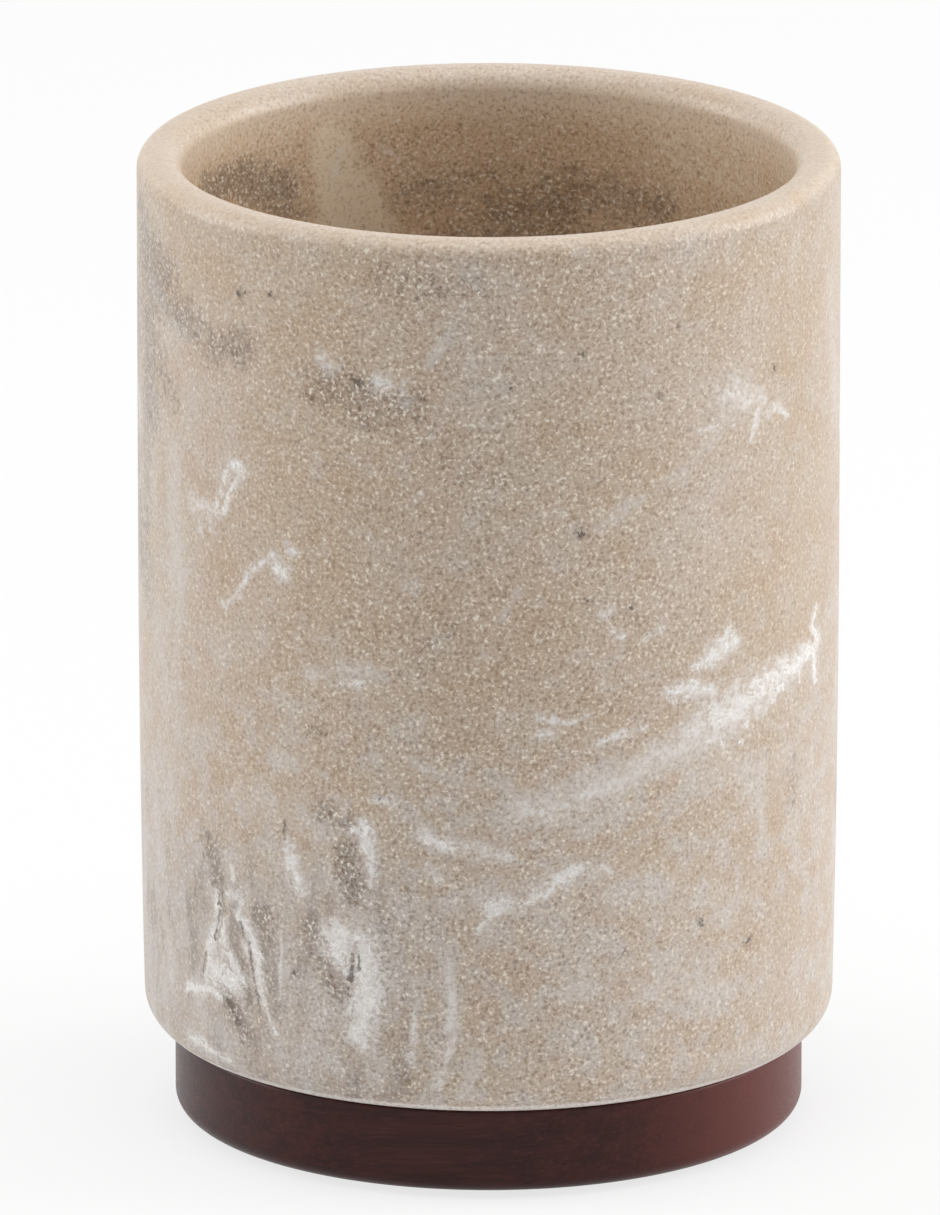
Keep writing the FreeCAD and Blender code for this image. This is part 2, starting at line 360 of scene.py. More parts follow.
# %% The tone drift and the fine tooth
drift_group, given, result = new_group(
    "Tone Drift", [("Place", "Vector", (0, 0, 0)), ("Patch Size", "Float", 20.0)], [("Drift", "Float")])
per_patch = sums(drift_group, "DIVIDE", 1.0, given["Patch Size"])
patches = noise(drift_group, given["Place"], per_patch, detail=3.0, roughness=0.55)
drift_group.links.new(ease(drift_group, patches, 0.32, 0.68), result["Drift"])

tooth_group, given, result = new_group(
    "Fine Tooth", [("Place", "Vector", (0, 0, 0)), ("Tooth Size", "Float", 0.3)], [("Tooth", "Float")])
per_tooth = sums(tooth_group, "DIVIDE", 1.0, given["Tooth Size"])
teeth = noise(tooth_group, given["Place"], per_tooth, detail=2.0, roughness=0.6)
tooth_group.links.new(ease(tooth_group, teeth, 0.3, 0.7), result["Tooth"])


def drift_of(tree, place, patch_size):
    """The slow drift of tone, from 0 to 1, in patches of this size in millimetres."""
    return use_group(tree, drift_group, {"Place": place, "Patch Size": patch_size})["Drift"]


def toothed(tree, place, tooth_size, swing, least):
    """A roughness from least upwards that the fine tooth breaks up."""
    tooth = use_group(tree, tooth_group, {"Place": place, "Tooth Size": tooth_size})["Tooth"]
    return sums(tree, "MULTIPLY_ADD", tooth, swing, least)


print("shared effects:", drift_group.name, "and", tooth_group.name)

# %% [markdown]
# ## A brush for the wisps
# The white wisps of cast resin are where the pigment didn't stir in. Noise alone can draw
# wisps, but never these wisps in these places, so they are painted. A stroke is written as
# two places, each an angle round the cup and a height above the table, with a width at each
# end and a strength. The brush first measures how far a point lies from the stroke's line on
# the unrolled wall. A Gradient Texture could do that for one stroke, but it would need an
# object of its own to point along, and a few vector nodes need nothing.

# %% The brush and its distance from the line
LEVEL, UPWARDS = (1, 1, 0), (0, 0, 1)
brush, given, result = new_group("Brush Stroke", [
    ("Place", "Vector", (0, 0, 0)), ("Start", "Vector", (0, 0, 1)), ("End", "Vector", (1, 0, 1)),
    ("Strength", "Float", 1.0)], [("Core", "Float"), ("Halo", "Float")])
level_start = vectors(brush, "MULTIPLY", given["Start"], LEVEL)
line = vectors(brush, "SUBTRACT", vectors(brush, "MULTIPLY", given["End"], LEVEL), level_start)
away = vectors(brush, "SUBTRACT", given["Place"], level_start)
along = vectors(brush, "DOT_PRODUCT", away, line)
whole = vectors(brush, "DOT_PRODUCT", line, line)
share = put(brush, "Clamp", {"Value": sums(brush, "DIVIDE", along, whole)}).outputs["Result"]
gap = vectors(brush, "DISTANCE", away, scaled(brush, line, share))
start_width = put(brush, "SeparateXYZ", {"Vector": given["Start"]}).outputs["Z"]
end_width = put(brush, "SeparateXYZ", {"Vector": given["End"]}).outputs["Z"]
widening = sums(brush, "SUBTRACT", end_width, start_width)
width = sums(brush, "MULTIPLY_ADD", share, widening, start_width)
print("nodes that measure the distance:", len(brush.nodes))

# %% [markdown]
# ## Threads, core and halo
# Pigment that is drawn out by a pour breaks into threads that run with the stroke. So the
# brush has a noise of its own, which is stretched along the line and changes the width of the
# core. The halo is wider and stays soft, as the milky edge of a real wisp does. Blurring the
# core would give a halo too, but shader nodes can't blur.

# %% The brush's threads, core and halo
THREAD_ALONG, THREAD_ACROSS = 0.32, 1.5
THREAD_THIN, THREAD_THICK = 0.6, 2.1
HALO_REACH, HALO_SPARE = 2.2, 0.7
heading = vectors(brush, "NORMALIZE", line)
sideways = vectors(brush, "CROSS_PRODUCT", heading, UPWARDS)
run = sums(brush, "MULTIPLY", vectors(brush, "DOT_PRODUCT", given["Place"], heading), THREAD_ALONG)
off = sums(brush, "MULTIPLY", vectors(brush, "DOT_PRODUCT", given["Place"], sideways), THREAD_ACROSS)
thread_place = put(brush, "CombineXYZ", {"X": run, "Y": off}).outputs["Vector"]
thread_noise = noise(brush, thread_place, 1.0, 3.0, 0.6)
thickness = ease(brush, thread_noise, 0.3, 0.68, THREAD_THIN, THREAD_THICK)
core_reach = sums(brush, "MULTIPLY", width, thickness)
halo_reach = sums(brush, "MULTIPLY_ADD", width, HALO_REACH, HALO_SPARE)
for label, reach in (("Core", core_reach), ("Halo", halo_reach)):
    body = sums(brush, "SUBTRACT", 1.0, sums(brush, "DIVIDE", gap, reach))
    body = sums(brush, "MAXIMUM", body, 0.0)
    brush.links.new(sums(brush, "MULTIPLY", body, given["Strength"]), result[label])
print("nodes of the whole brush:", len(brush.nodes))

# %% [markdown]
# ## What is painted on the cup
# Angles run round the outside from the front, and are positive to the right. Inside the bore
# they run from the back wall, because that is the side of the bore that shows. There are four
# kinds of paint: white wisps with a clear edge, wide pale veils in which the grain fades, wide
# dark smudges, and small dark marks. Not all of it is pigment: some veils near the left and
# right edges are painted sheen, two wisps along the heel are a painted highlight, one smudge
# on the left edge is painted shade, and the dark pits among the marks are painted shade too.
# Each stroke is written as the angle and height of its start, the angle and height of its
# end, the width at each in millimetres, and a strength. The pattern of a real casting comes by
# chance and could be left to noise, but then this cup would look like any other from the same
# mould.

# %% Wisps of the lower left, and a painted highlight on the heel
LOWER_LEFT = [
    (-51, 31, -51, 28.2, 0.35, 0.45, 0.9), (-51, 28.2, -53, 25, 0.6, 1.0, 0.8),
    (-53, 25, -54, 20.5, 0.9, 0.7, 0.7), (-49.3, 28, -49.2, 25.6, 0.4, 0.45, 1.0),
    (-49.2, 25.6, -51, 22, 0.4, 0.5, 0.5), (-48.6, 31, -46.7, 31.6, 0.35, 0.4, 0.9),
    (-46.7, 31.6, -44.9, 31.2, 0.4, 0.4, 0.9), (-44.9, 31.2, -45.4, 29.4, 0.35, 0.45, 0.7),
    (-45.4, 29.4, -42.4, 28, 0.4, 0.5, 0.9), (-42.4, 28, -41.4, 24.9, 0.5, 0.6, 1.0),
    (-41.4, 24.9, -40.4, 20.6, 0.6, 0.35, 1.0), (-40.4, 20.6, -37.9, 17.5, 0.35, 0.25, 0.8),
    (-44.2, 26.3, -43.4, 24.6, 0.35, 0.3, 0.7), (-50.6, 22.2, -47.6, 21.4, 1.5, 1.6, 0.95),
    (-48.3, 24.6, -44.6, 21.8, 0.5, 0.7, 0.9), (-52.4, 23.2, -52.2, 21.4, 0.45, 0.5, 0.8),
    (-60.5, 19, -52.4, 19.9, 0.4, 0.6, 1.0), (-52.4, 19.9, -50.5, 19.3, 0.6, 0.5, 0.9),
    (-58.8, 21, -58.5, 19.8, 0.3, 0.3, 0.6), (-47.2, 34.6, -46.9, 33.4, 0.5, 0.4, 0.6),
    # The two strokes along the heel at about 13 mm are a painted highlight on the lower lip.
    (-60, 13.3, -54.7, 13.1, 0.4, 0.5, 0.8), (-54.7, 13.1, -48.6, 12.5, 0.5, 0.35, 0.75),
    (-36, 29.2, -36.1, 25.4, 0.3, 0.35, 0.6), (-36.1, 25.2, -36.5, 21, 0.35, 0.2, 0.6)]

print("wisps of the lower left:", len(LOWER_LEFT))

# %% Wisps of the lower front
LOWER_FRONT = [
    (-34.8, 38.9, -34.7, 36.4, 0.35, 0.7, 0.9), (-34.4, 36.6, -32, 33.7, 1.2, 0.7, 0.75),
    (-22.7, 41.4, -20.7, 41.8, 0.5, 1.0, 0.8), (-20.7, 41.8, -19.6, 38.5, 1.0, 0.6, 0.85),
    (-19.6, 38.5, -19.5, 35.6, 0.6, 0.4, 0.7), (-19.4, 44.8, -15.5, 44.8, 0.35, 0.3, 0.8),
    (-26.6, 29.2, -24.2, 28.6, 1.5, 1.7, 0.9), (-25.8, 28, -24.4, 25.6, 1.5, 0.8, 0.8),
    (-29, 27.4, -27.6, 27.2, 0.3, 0.4, 0.9), (-20.6, 28.8, -20, 24, 1.3, 1.9, 1.0),
    (-20, 24, -21.6, 19.3, 2.0, 1.5, 1.0), (-21.6, 19.3, -20.5, 17.4, 1.1, 0.6, 0.9),
    (-22.6, 19.4, -22.8, 17.8, 0.7, 0.4, 0.8), (-12, 22.3, -12.4, 18.8, 0.35, 0.6, 0.6),
    (-12.5, 18.6, -12.7, 16.2, 0.7, 0.7, 0.6), (-6.3, 27.4, -5.8, 24.2, 0.5, 0.9, 0.45),
    (-5.8, 24.2, -6.3, 20.4, 1.0, 1.1, 0.5), (-5.6, 19.3, -7.5, 16, 0.4, 0.5, 0.6),
    (-7.5, 16, -8.8, 13.7, 0.5, 0.5, 0.6), (-9.5, 38.2, -8.5, 36.4, 0.5, 0.6, 0.6)]
RISING_CHAIN = [
    (-10.4, 41.3, -6.3, 40.3, 0.6, 0.8, 0.8), (-5.4, 40.6, -1, 40.1, 0.6, 0.8, 0.6),
    (-1, 39.9, 5, 38.7, 0.9, 0.6, 0.5), (-1.9, 31.3, -0.6, 32.2, 0.3, 0.5, 0.7),
    (-0.6, 32.2, 2.4, 33.9, 0.5, 0.8, 0.75), (0.6, 33.8, 3, 34, 0.9, 0.8, 0.8),
    (5.8, 34.1, 8.5, 35, 0.35, 0.6, 0.7), (8.5, 35.1, 10.8, 36, 0.7, 0.7, 0.85),
    (10.8, 36, 12.7, 36.8, 0.6, 0.6, 0.9), (12.7, 36.8, 15.2, 37.5, 0.6, 0.4, 0.9),
    (18, 37, 19.3, 37.5, 0.35, 0.35, 0.6), (19.3, 37.5, 21, 36.6, 0.35, 0.4, 0.5)]

print("wisps of the lower front:", len(LOWER_FRONT), "and in the chain:", len(RISING_CHAIN))

# %% Wisps of the long band and the feathers above it
LONG_BAND = [
    (4, 44.3, 9, 44, 1.2, 1.6, 0.6), (9.6, 44.5, 16, 44.8, 1.8, 1.2, 0.45),
    (15, 45.9, 20, 46.6, 1.0, 1.7, 0.5), (20.6, 46.2, 26, 48.4, 1.6, 1.2, 0.42),
    (24, 48.8, 31, 50.2, 1.0, 1.6, 0.4), (30, 49, 36, 51, 1.5, 1.6, 0.42),
    (35, 50.6, 40, 51.9, 1.6, 2.3, 0.55), (40, 51.9, 50, 53.8, 2.5, 2.8, 0.68),
    (50, 53.8, 56, 54.9, 2.7, 2.0, 0.72), (56, 54.9, 65, 55.6, 1.8, 1.2, 0.8),
    (53, 51.5, 57.5, 54.4, 0.3, 0.5, 0.9), (65, 55.3, 69, 55.9, 0.6, 0.7, 0.9),
    (68.2, 59.5, 66.6, 58, 0.4, 0.5, 0.9), (66.6, 58, 69, 55.9, 0.45, 0.6, 0.9),
    (67.3, 54.9, 68.2, 52.4, 0.7, 0.5, 0.9), (45, 50, 45.6, 48.4, 0.25, 0.2, 0.8),
    (41, 49.5, 43.3, 47, 0.25, 0.25, 0.6), (38, 50, 40, 49.4, 0.5, 0.4, 0.6),
    (47, 54.6, 52, 55, 0.4, 0.4, 0.8), (50, 52, 51, 49.8, 0.3, 0.2, 0.7),
    (56, 53.6, 57.4, 51.2, 0.35, 0.2, 0.8), (61, 54.8, 61.6, 52.8, 0.4, 0.2, 0.8),
    (46, 50.4, 47.4, 50.6, 0.3, 0.3, 0.8)]
FEATHERS = [
    (43.3, 60, 40, 59.2, 1.2, 1.4, 0.8), (40, 58.9, 35.2, 58.1, 1.1, 0.4, 0.85),
    (42.8, 61.6, 41, 59.8, 0.7, 1.1, 0.7), (29.8, 56, 35, 55.7, 0.4, 1.0, 0.95),
    (35, 55.7, 40, 55, 0.9, 0.4, 0.7), (31.7, 54.6, 34.6, 55, 0.5, 0.5, 0.7),
    (8.3, 54.8, 10.6, 54.1, 0.35, 0.4, 0.75), (10.6, 54.1, 13.7, 53.8, 0.35, 0.35, 0.6),
    (13.7, 53.8, 15.8, 54.4, 0.3, 0.3, 0.6), (8.2, 53, 9.8, 52.9, 0.5, 0.6, 0.7),
    (17.8, 51.3, 22.3, 52.3, 0.5, 0.6, 0.6), (22.3, 52.3, 26, 52.5, 0.5, 0.3, 0.5),
    (19, 65.5, 20, 65.9, 0.8, 0.7, 0.6), (26.5, 62.6, 29.5, 63.4, 0.5, 0.5, 0.6),
    (21, 63.3, 22.6, 63.2, 0.45, 0.4, 0.7), (18.2, 58, 18.8, 57.8, 0.6, 0.6, 0.4),
    (6.6, 48.8, 7.6, 48.7, 0.25, 0.25, 0.5), (-10.8, 48.3, -7.7, 48.2, 0.35, 0.35, 0.5)]

print("wisps of the long band:", len(LONG_BAND), "and feathers:", len(FEATHERS))

# %% Wisps of the upper half
UPPER_RIGHT = [
    (42.5, 87.3, 46, 86.6, 2.2, 2.6, 0.5), (46, 86.6, 51, 85.6, 2.4, 1.8, 0.5),
    (49.4, 85.4, 49, 83.6, 1.3, 0.9, 0.55), (49, 83.6, 48.2, 81.4, 0.7, 0.3, 0.55),
    (52.5, 84.6, 55, 84, 1.2, 1.1, 0.55), (55, 84, 58.3, 82.8, 0.8, 0.4, 0.6),
    (36, 84.2, 39.7, 84.4, 0.35, 0.4, 0.55)]
UPPER_LEFT = [
    (-46.8, 79.4, -44.5, 78.8, 0.5, 0.6, 0.85), (-44.5, 78.8, -46.8, 76.3, 0.6, 0.45, 0.8),
    (-46.8, 76.3, -48.6, 73.2, 0.45, 0.4, 0.7), (-47.6, 79, -49, 76.8, 0.35, 0.4, 0.75),
    (-49.3, 76.8, -49.6, 74, 0.4, 0.5, 0.7), (-57, 73.4, -49, 73.2, 1.3, 1.0, 0.55),
    (-55, 73, -54.6, 70.5, 0.8, 0.8, 0.4), (-52, 73, -51.8, 71, 0.5, 0.4, 0.5),
    (-34.9, 71.4, -33.8, 71, 0.7, 0.6, 0.6), (-39, 69.7, -42.2, 68.1, 0.35, 0.4, 0.7),
    (-42.2, 68.1, -45.1, 65.2, 0.4, 0.4, 0.62), (-45.1, 65.2, -47.8, 63.6, 0.35, 0.4, 0.62),
    (-47.8, 63.6, -49.2, 63.6, 0.3, 0.3, 0.6), (-38, 70, -36, 68.4, 0.7, 0.9, 0.8),
    (-34.5, 69.4, -35.4, 68.2, 0.3, 0.4, 0.6), (-30.8, 57.9, -29.8, 57.8, 0.7, 0.6, 0.35),
    (-23.8, 57.4, -20.5, 57.5, 0.25, 0.25, 0.7), (-17.8, 90.9, -16.6, 90.7, 0.7, 0.8, 0.85),
    (-13.6, 91, -13.2, 88.6, 0.9, 1.3, 0.38), (-27.9, 93, -26.8, 92.4, 1.1, 1.0, 0.55)]
WISPS_AND_HEEL_HIGHLIGHT = LOWER_LEFT + LOWER_FRONT + RISING_CHAIN + LONG_BAND + FEATHERS + UPPER_RIGHT + UPPER_LEFT
print("wisps of the front:", len(WISPS_AND_HEEL_HIGHLIGHT))

# %% Veils and smudges, with painted sheen and painted shade
VEILS_AND_SHEEN = [
    # The veils from -72 to -61 degrees, between 20 and 78 mm, are painted sheen: the pale upright band
    # and the wash of grazing light near the left edge.
    (-72, 95, -67, 93.6, 2.6, 2.4, 0.7), (-63, 78, -62, 64, 4.4, 4.4, 0.6),
    (-68, 58, -65, 40, 8, 7, 0.4), (-72, 36, -66, 20, 7, 7, 0.4), (-61, 66, -62, 54, 2, 2, 0.6),
    (-37, 47.6, -33, 47.4, 2.2, 2.0, 0.7), (-48, 48.5, -46.6, 48.3, 1.2, 1.2, 0.5),
    (-45, 43, -25, 41, 5, 5, 0.4), (-40, 37, -28, 30, 6, 6, 0.3), (-37, 25, -36, 18, 4, 3, 0.5),
    (-58, 26, -56, 16, 5, 4, 0.5), (-31.5, 58.4, -27, 58, 1.9, 1.9, 0.6),
    (-24, 58.8, -18, 58.6, 2.2, 2.4, 0.6), (-12.5, 69.3, -12.4, 67.5, 1.4, 1.2, 0.5),
    (-17.4, 66.9, -16.8, 66.3, 1.2, 1.2, 0.5), (4.5, 68.4, 1.5, 65.4, 1.1, 1.3, 0.6),
    (-13.5, 49.3, -7, 47.8, 1.4, 1.6, 0.6), (-7, 47.6, 4, 46.8, 1.5, 1.5, 0.55),
    (-10, 45.9, -6, 44.4, 1.0, 1.2, 0.6), (-6, 44, 4, 43, 1.5, 1.8, 0.4),
    (6, 45, 30, 49, 4, 4.5, 0.75), (30, 49, 62, 55, 4.5, 3.4, 0.8),
    (5, 42.5, 24, 43.5, 2.5, 2.5, 0.5), (36, 46, 60, 44, 5, 4, 0.4), (-6, 34, 20, 38, 4, 4, 0.4),
    (-6.4, 29.8, -6.1, 26, 0.9, 1.2, 0.8), (-6.1, 26, -6.1, 20, 1.2, 1.4, 0.95),
    (-6.1, 20, -8.2, 14, 1.1, 0.9, 0.6), (-2, 17.4, -4.4, 12.6, 1.4, 1.6, 0.85),
    (3.1, 19.2, 3.4, 18.6, 1.2, 1.2, 0.5), (12, 24, 15.5, 23.4, 2.2, 2.4, 0.6),
    (24, 22.4, 29, 22.6, 1.6, 1.8, 0.65), (27, 28.7, 28.4, 28.9, 1.2, 1.2, 0.6),
    (51, 41.2, 51.6, 35.6, 1.4, 1.3, 0.6), (51.4, 27.8, 52, 27, 1.3, 1.3, 0.5),
    (42, 26.4, 43, 26, 1.3, 1.3, 0.4), (27, 42.6, 33, 42, 1.3, 1.3, 0.4),
    (-6, 96.5, -9, 93.4, 1.3, 1.6, 0.75), (-3.4, 93.1, 2.9, 94, 1.4, 1.6, 0.5),
    (-12.7, 88.8, -14, 90, 1.4, 1.3, 0.6), (-2.5, 87, 0.5, 86.8, 1.5, 1.3, 0.45),
    (15.5, 98.8, 17, 98.6, 1.7, 1.7, 0.55), (10.8, 88.2, 11.2, 87.8, 1.1, 1.1, 0.45),
    (18, 74.8, 21, 76, 1.5, 2.2, 0.55), (22, 76.4, 25, 77.4, 2.4, 1.8, 0.6),
    (29, 78.6, 40, 83.6, 1.5, 2, 0.5), (6, 76.4, 12, 77.3, 1.3, 1.3, 0.45),
    (-5.5, 74.6, -2, 76.6, 1.4, 1.3, 0.45), (33, 83, 34, 82.8, 1.5, 1.5, 0.4),
    (40, 89, 56, 84, 4, 4, 0.4), (52, 69.2, 52.6, 68.8, 1.3, 1.3, 0.45),
    (26, 91.6, 27, 91.4, 1.3, 1.3, 0.4), (12.5, 92.6, 14, 92.6, 1.3, 1.3, 0.4),
    # The three veils at 75 to 84 degrees are painted sheen near the right edge.
    (75, 93, 80, 80, 6, 5, 0.45), (82, 68, 78, 58, 5, 5, 0.25), (80, 36, 84, 24, 5, 5, 0.3),
    (20, 36, 46, 30, 7, 7, 0.45), (16, 26, 40, 22, 6, 6, 0.4)]
SMUDGES_AND_EDGE_SHADE = [
    (-80, 101, -74, 97, 6, 6, 0.75), (-78, 98, -68, 96, 8, 8, 0.8), (-75, 94, -74, 81, 8, 7, 0.7),
    (-83, 92, -90, 80, 8, 7, 0.65), (-87, 74, -81, 63, 7, 6, 0.6), (-62, 94, -56, 93, 5, 4.6, 0.65),
    (-51, 91.6, -44, 92.6, 4.6, 4.4, 0.65), (-28, 90, -19, 88, 5.4, 5.4, 0.55),
    (-18, 88, -12, 88.6, 4.6, 4.4, 0.55), (-24, 91, -19, 90.6, 2.2, 2, 0.6),
    (-24, 39.5, -22, 34, 2.6, 2.4, 0.85), (-28, 43, -23, 42, 2.8, 2.4, 0.7),
    (-31.4, 51.8, -28.4, 51.6, 1.9, 1.9, 0.45), (-53, 36, -50, 31, 2.6, 2.2, 0.75),
    (-58, 29, -58, 22, 2.4, 2.4, 0.6), (-48.7, 20, -44.6, 16.4, 2.4, 2.6, 0.85),
    (-45, 24, -43.4, 19, 1.8, 1.8, 0.7), (-40, 31, -37, 20, 2.6, 2.6, 0.6),
    (-30, 30, -26, 23, 2.6, 2.2, 0.7), (-18, 33, -17.6, 22, 1.6, 1.6, 0.5),
    (-12.6, 24, -14, 14, 2, 2, 0.4), (60, 44, 59, 40, 3.2, 3, 0.4), (-17, 102, -2, 102, 4, 3.4, 0.4),
    # The last smudge here, from -77 degrees at 83 mm down to 60 mm, is painted shade, darker towards
    # the left edge.
    (-14, 60, -6, 64, 5, 5, 0.3), (-10, 84, 4, 80, 6, 6, 0.25), (-77, 83, -76, 60, 5, 5, 0.5),
    (-70, 88, -64, 84, 5, 4, 0.5)]
print("veils:", len(VEILS_AND_SHEEN), "smudges:", len(SMUDGES_AND_EDGE_SHADE))

# %% Dark marks, and pits with painted shade
MARKS = [
    (-22.2, 28.4, -23, 26.4, 0.25, 0.35, 0.9), (-23, 26.4, -23.6, 24.8, 0.35, 0.3, 1.0),
    (-24, 24.4, -23.7, 23.2, 0.2, 0.15, 0.8), (-21.4, 27.8, -21.9, 25.8, 0.15, 0.15, 0.8),
    (-23.8, 27.6, -23.9, 26.2, 0.2, 0.2, 0.8), (-48.7, 19.5, -47.4, 18.8, 0.35, 0.35, 0.9),
    (-47.6, 18.4, -45.8, 17.2, 0.3, 0.25, 0.8), (-46.9, 17.5, -46.4, 16.8, 0.2, 0.2, 0.7),
    (-50.3, 29.6, -51.6, 26, 0.3, 0.3, 0.8), (-44.9, 28.6, -43.9, 26.8, 0.3, 0.3, 0.8),
    (-43.2, 26.6, -42.4, 23.6, 0.25, 0.25, 0.8), (-54.2, 24, -54.9, 21, 0.3, 0.3, 0.7),
    (-35.6, 41, -35.4, 38.8, 0.2, 0.2, 0.6), (-42.2, 22.4, -41, 19.4, 0.25, 0.2, 0.7),
    (-22.6, 90.9, -20.4, 90.7, 0.6, 0.45, 0.75)]
PITS = [
    (-50.6, 29.9, 0.25), (-33.3, 24.2, 0.28), (-39.8, 61.6, 0.2), (-20, 61.3, 0.25),
    (-6.3, 63.6, 0.15), (-11, 51.1, 0.16), (-44.4, 98, 0.4), (-43, 98.3, 0.25), (-37.7, 98.8, 0.25),
    (14.8, 93.8, 0.2), (28.4, 88.4, 0.2), (3.2, 90.8, 0.16), (37.3, 29.4, 0.28), (22.7, 27.5, 0.2),
    (48, 26, 0.2), (54, 88.9, 0.2), (31.8, 96, 0.16), (15.5, 74.3, 0.25), (16, 67.1, 0.2),
    (24, 66, 0.2), (-49.4, 54.3, 0.16), (-18, 45.1, 0.16)]
# The pits are painted dark, a painted shade inside them, and the bump sinks them too.
PIT_LENGTH, PIT_SHADE = 0.1, 1.0
for angle, height, width in PITS:
    MARKS.append((angle, height, angle, height + PIT_LENGTH, width, width, PIT_SHADE))
print("marks, with the pits:", len(MARKS))

# %% The bore, the sides and the back
BORE_WISPS = [(-20.5, 98.2, -18, 97.6, 0.5, 0.5, 0.35), (-29, 98.5, -31, 95, 0.8, 0.7, 0.4)]
BORE_VEILS = [
    (-31, 99, -28, 91, 5, 5.4, 1.0), (-27, 95, -22, 90, 5, 4.4, 0.85), (40, 99, 60, 98, 8, 7, 0.35)]
BORE_SMUDGES = [
    (-68, 99, -54, 98, 4, 4.6, 0.9), (-54, 97.5, -42, 95.5, 4.8, 4, 0.85),
    (-47, 94, -38, 92, 3, 3, 0.6), (-15, 93, 2, 93.5, 5, 6, 0.52), (2, 91, 13, 91.5, 6, 7, 0.7),
    (13, 93.5, 34, 93, 6.4, 5, 0.6), (-8, 87.5, 20, 88, 5, 5, 0.55)]
SIDE_WISPS = [
    (88, 77, 92, 74.5, 1.2, 1.8, 0.7), (92, 74.5, 97, 70, 1.8, 1.2, 0.65),
    (97, 70, 99, 65.5, 0.8, 0.3, 0.7), (90, 72.5, 93, 71, 0.5, 0.6, 0.6),
    (95, 74, 98, 73.6, 0.4, 0.3, 0.7), (84, 52, 90, 55, 0.3, 0.35, 0.6),
    (90, 33, 93, 36, 0.5, 0.9, 0.7), (93, 36, 99, 38.5, 1.4, 1.8, 0.65),
    (99, 38.5, 106, 41, 1.6, 0.9, 0.7), (97, 36, 100, 34.6, 0.4, 0.3, 0.7),
    (103, 43, 107, 44.6, 0.4, 0.4, 0.6), (90, 55, 93, 54, 0.35, 0.25, 0.6),
    (-102, 66, -97, 63.5, 1.2, 1.5, 0.6), (-97, 63.5, -92, 60, 1.3, 0.6, 0.7),
    (-98, 60.5, -95, 59, 0.35, 0.3, 0.7), (-93, 38, -91, 33, 0.5, 1.3, 0.8),
    (-91, 33, -89, 27, 1.4, 0.8, 0.8), (-95, 34, -94, 30, 0.35, 0.5, 0.7),
    (-88, 84, -84, 80, 0.6, 1.0, 0.6), (-84, 80, -83, 77, 0.5, 0.3, 0.6)]
SIDE_VEILS = [
    (88, 78, 98, 68, 4, 4, 0.6), (90, 34, 104, 42, 5, 4, 0.6), (96, 20, 104, 16, 4, 4, 0.5),
    (-96, 64, -90, 60, 4, 4, 0.5), (-95, 38, -88, 26, 5, 4, 0.6), (-104, 88, -96, 92, 5, 4, 0.4)]
SIDE_SMUDGES = [
    (-98, 46, -94, 42, 3, 2.6, 0.5), (96, 88, 92, 84, 3.4, 3, 0.45),
    (100, 54, 104, 50, 2.6, 2.4, 0.4)]
HALF_TURN = 180
HEIGHTS_SUM = 116


def round_the_back(strokes):
    """The same strokes turned half round and upside down, so that the back is as rich."""
    turned = []
    for start_angle, start_height, end_angle, end_height, *rest in strokes:
        turned.append((start_angle + HALF_TURN, HEIGHTS_SUM - start_height,
                       end_angle + HALF_TURN, HEIGHTS_SUM - end_height, *rest))
    return turned


all_wisps_and_heel_highlight = WISPS_AND_HEEL_HIGHLIGHT + SIDE_WISPS + round_the_back(WISPS_AND_HEEL_HIGHLIGHT)
all_marks = MARKS + round_the_back(MARKS)
all_veils_and_sheen = VEILS_AND_SHEEN + SIDE_VEILS + round_the_back(VEILS_AND_SHEEN)
all_smudges_and_shade = SMUDGES_AND_EDGE_SHADE + SIDE_SMUDGES + round_the_back(SMUDGES_AND_EDGE_SHADE)
print("all wisps:", len(all_wisps_and_heel_highlight), "marks:", len(all_marks))
print("all veils:", len(all_veils_and_sheen), "smudges:", len(all_smudges_and_shade))

# %% [markdown]
# ## Lay the walls flat and give each face its strokes
# A chain of a hundred brushes in one material would be slow, because every point would be
# measured against every stroke. Instead each face of the cup keeps the two white strokes and
# the one dark mark that lie nearest, and the material has three brushes that read them. The
# veils and smudges, with the painted sheen and painted shade among them, are wide and soft,
# so they are painted on the vertices. Both walls are laid flat side by side, and bent a little
# by noise, so that no stroke stays straight. That noise needs a seed, because Blender would
# start it from the clock, and then the bends would be others in each run.

# %% Lay the walls flat
OUTER_MM, BORE_MM = CUP_RADIUS / MM, BORE_RADIUS / MM
MID_WALL = (CUP_RADIUS + BORE_RADIUS) / 2
BORE_SHEET = 2000.0
SLOW_BEND, SLOW_SHIFT = 0.12, 0.5
QUICK_BEND, QUICK_SHIFT = 0.4, 0.3
BEND_SEED = 7
cup_mesh = cup_piece.data


def on_sheet(angle, height, wall):
    """A place on the sheet, from an angle and a height in millimetres, on either wall."""
    if wall == "bore":
        return Vector((BORE_SHEET + angle * BORE_MM, height, 0))
    return Vector((angle * OUTER_MM, height, 0))


def which_wall(place):
    """The bore's strokes are for its upper wall, and all else belongs to the outside."""
    return "bore" if place.xy.length < MID_WALL and place.z > BORE_FLOOR - NEAR else "outer"


def turned_by(place, wall):
    """The angle round the cup: from the front outside, and from the back in the bore."""
    return math.atan2(place.x, place.y if wall == "bore" else -place.y)


def bent_by(place):
    """How far noise shifts a place on the sheet, in millimetres."""
    slow = mathutils.noise.noise_vector(place * (SLOW_BEND / MM)) * SLOW_SHIFT
    quick = mathutils.noise.noise_vector(place * (QUICK_BEND / MM)) * QUICK_SHIFT
    shift = slow + quick
    return Vector((shift.x, shift.y, 0))


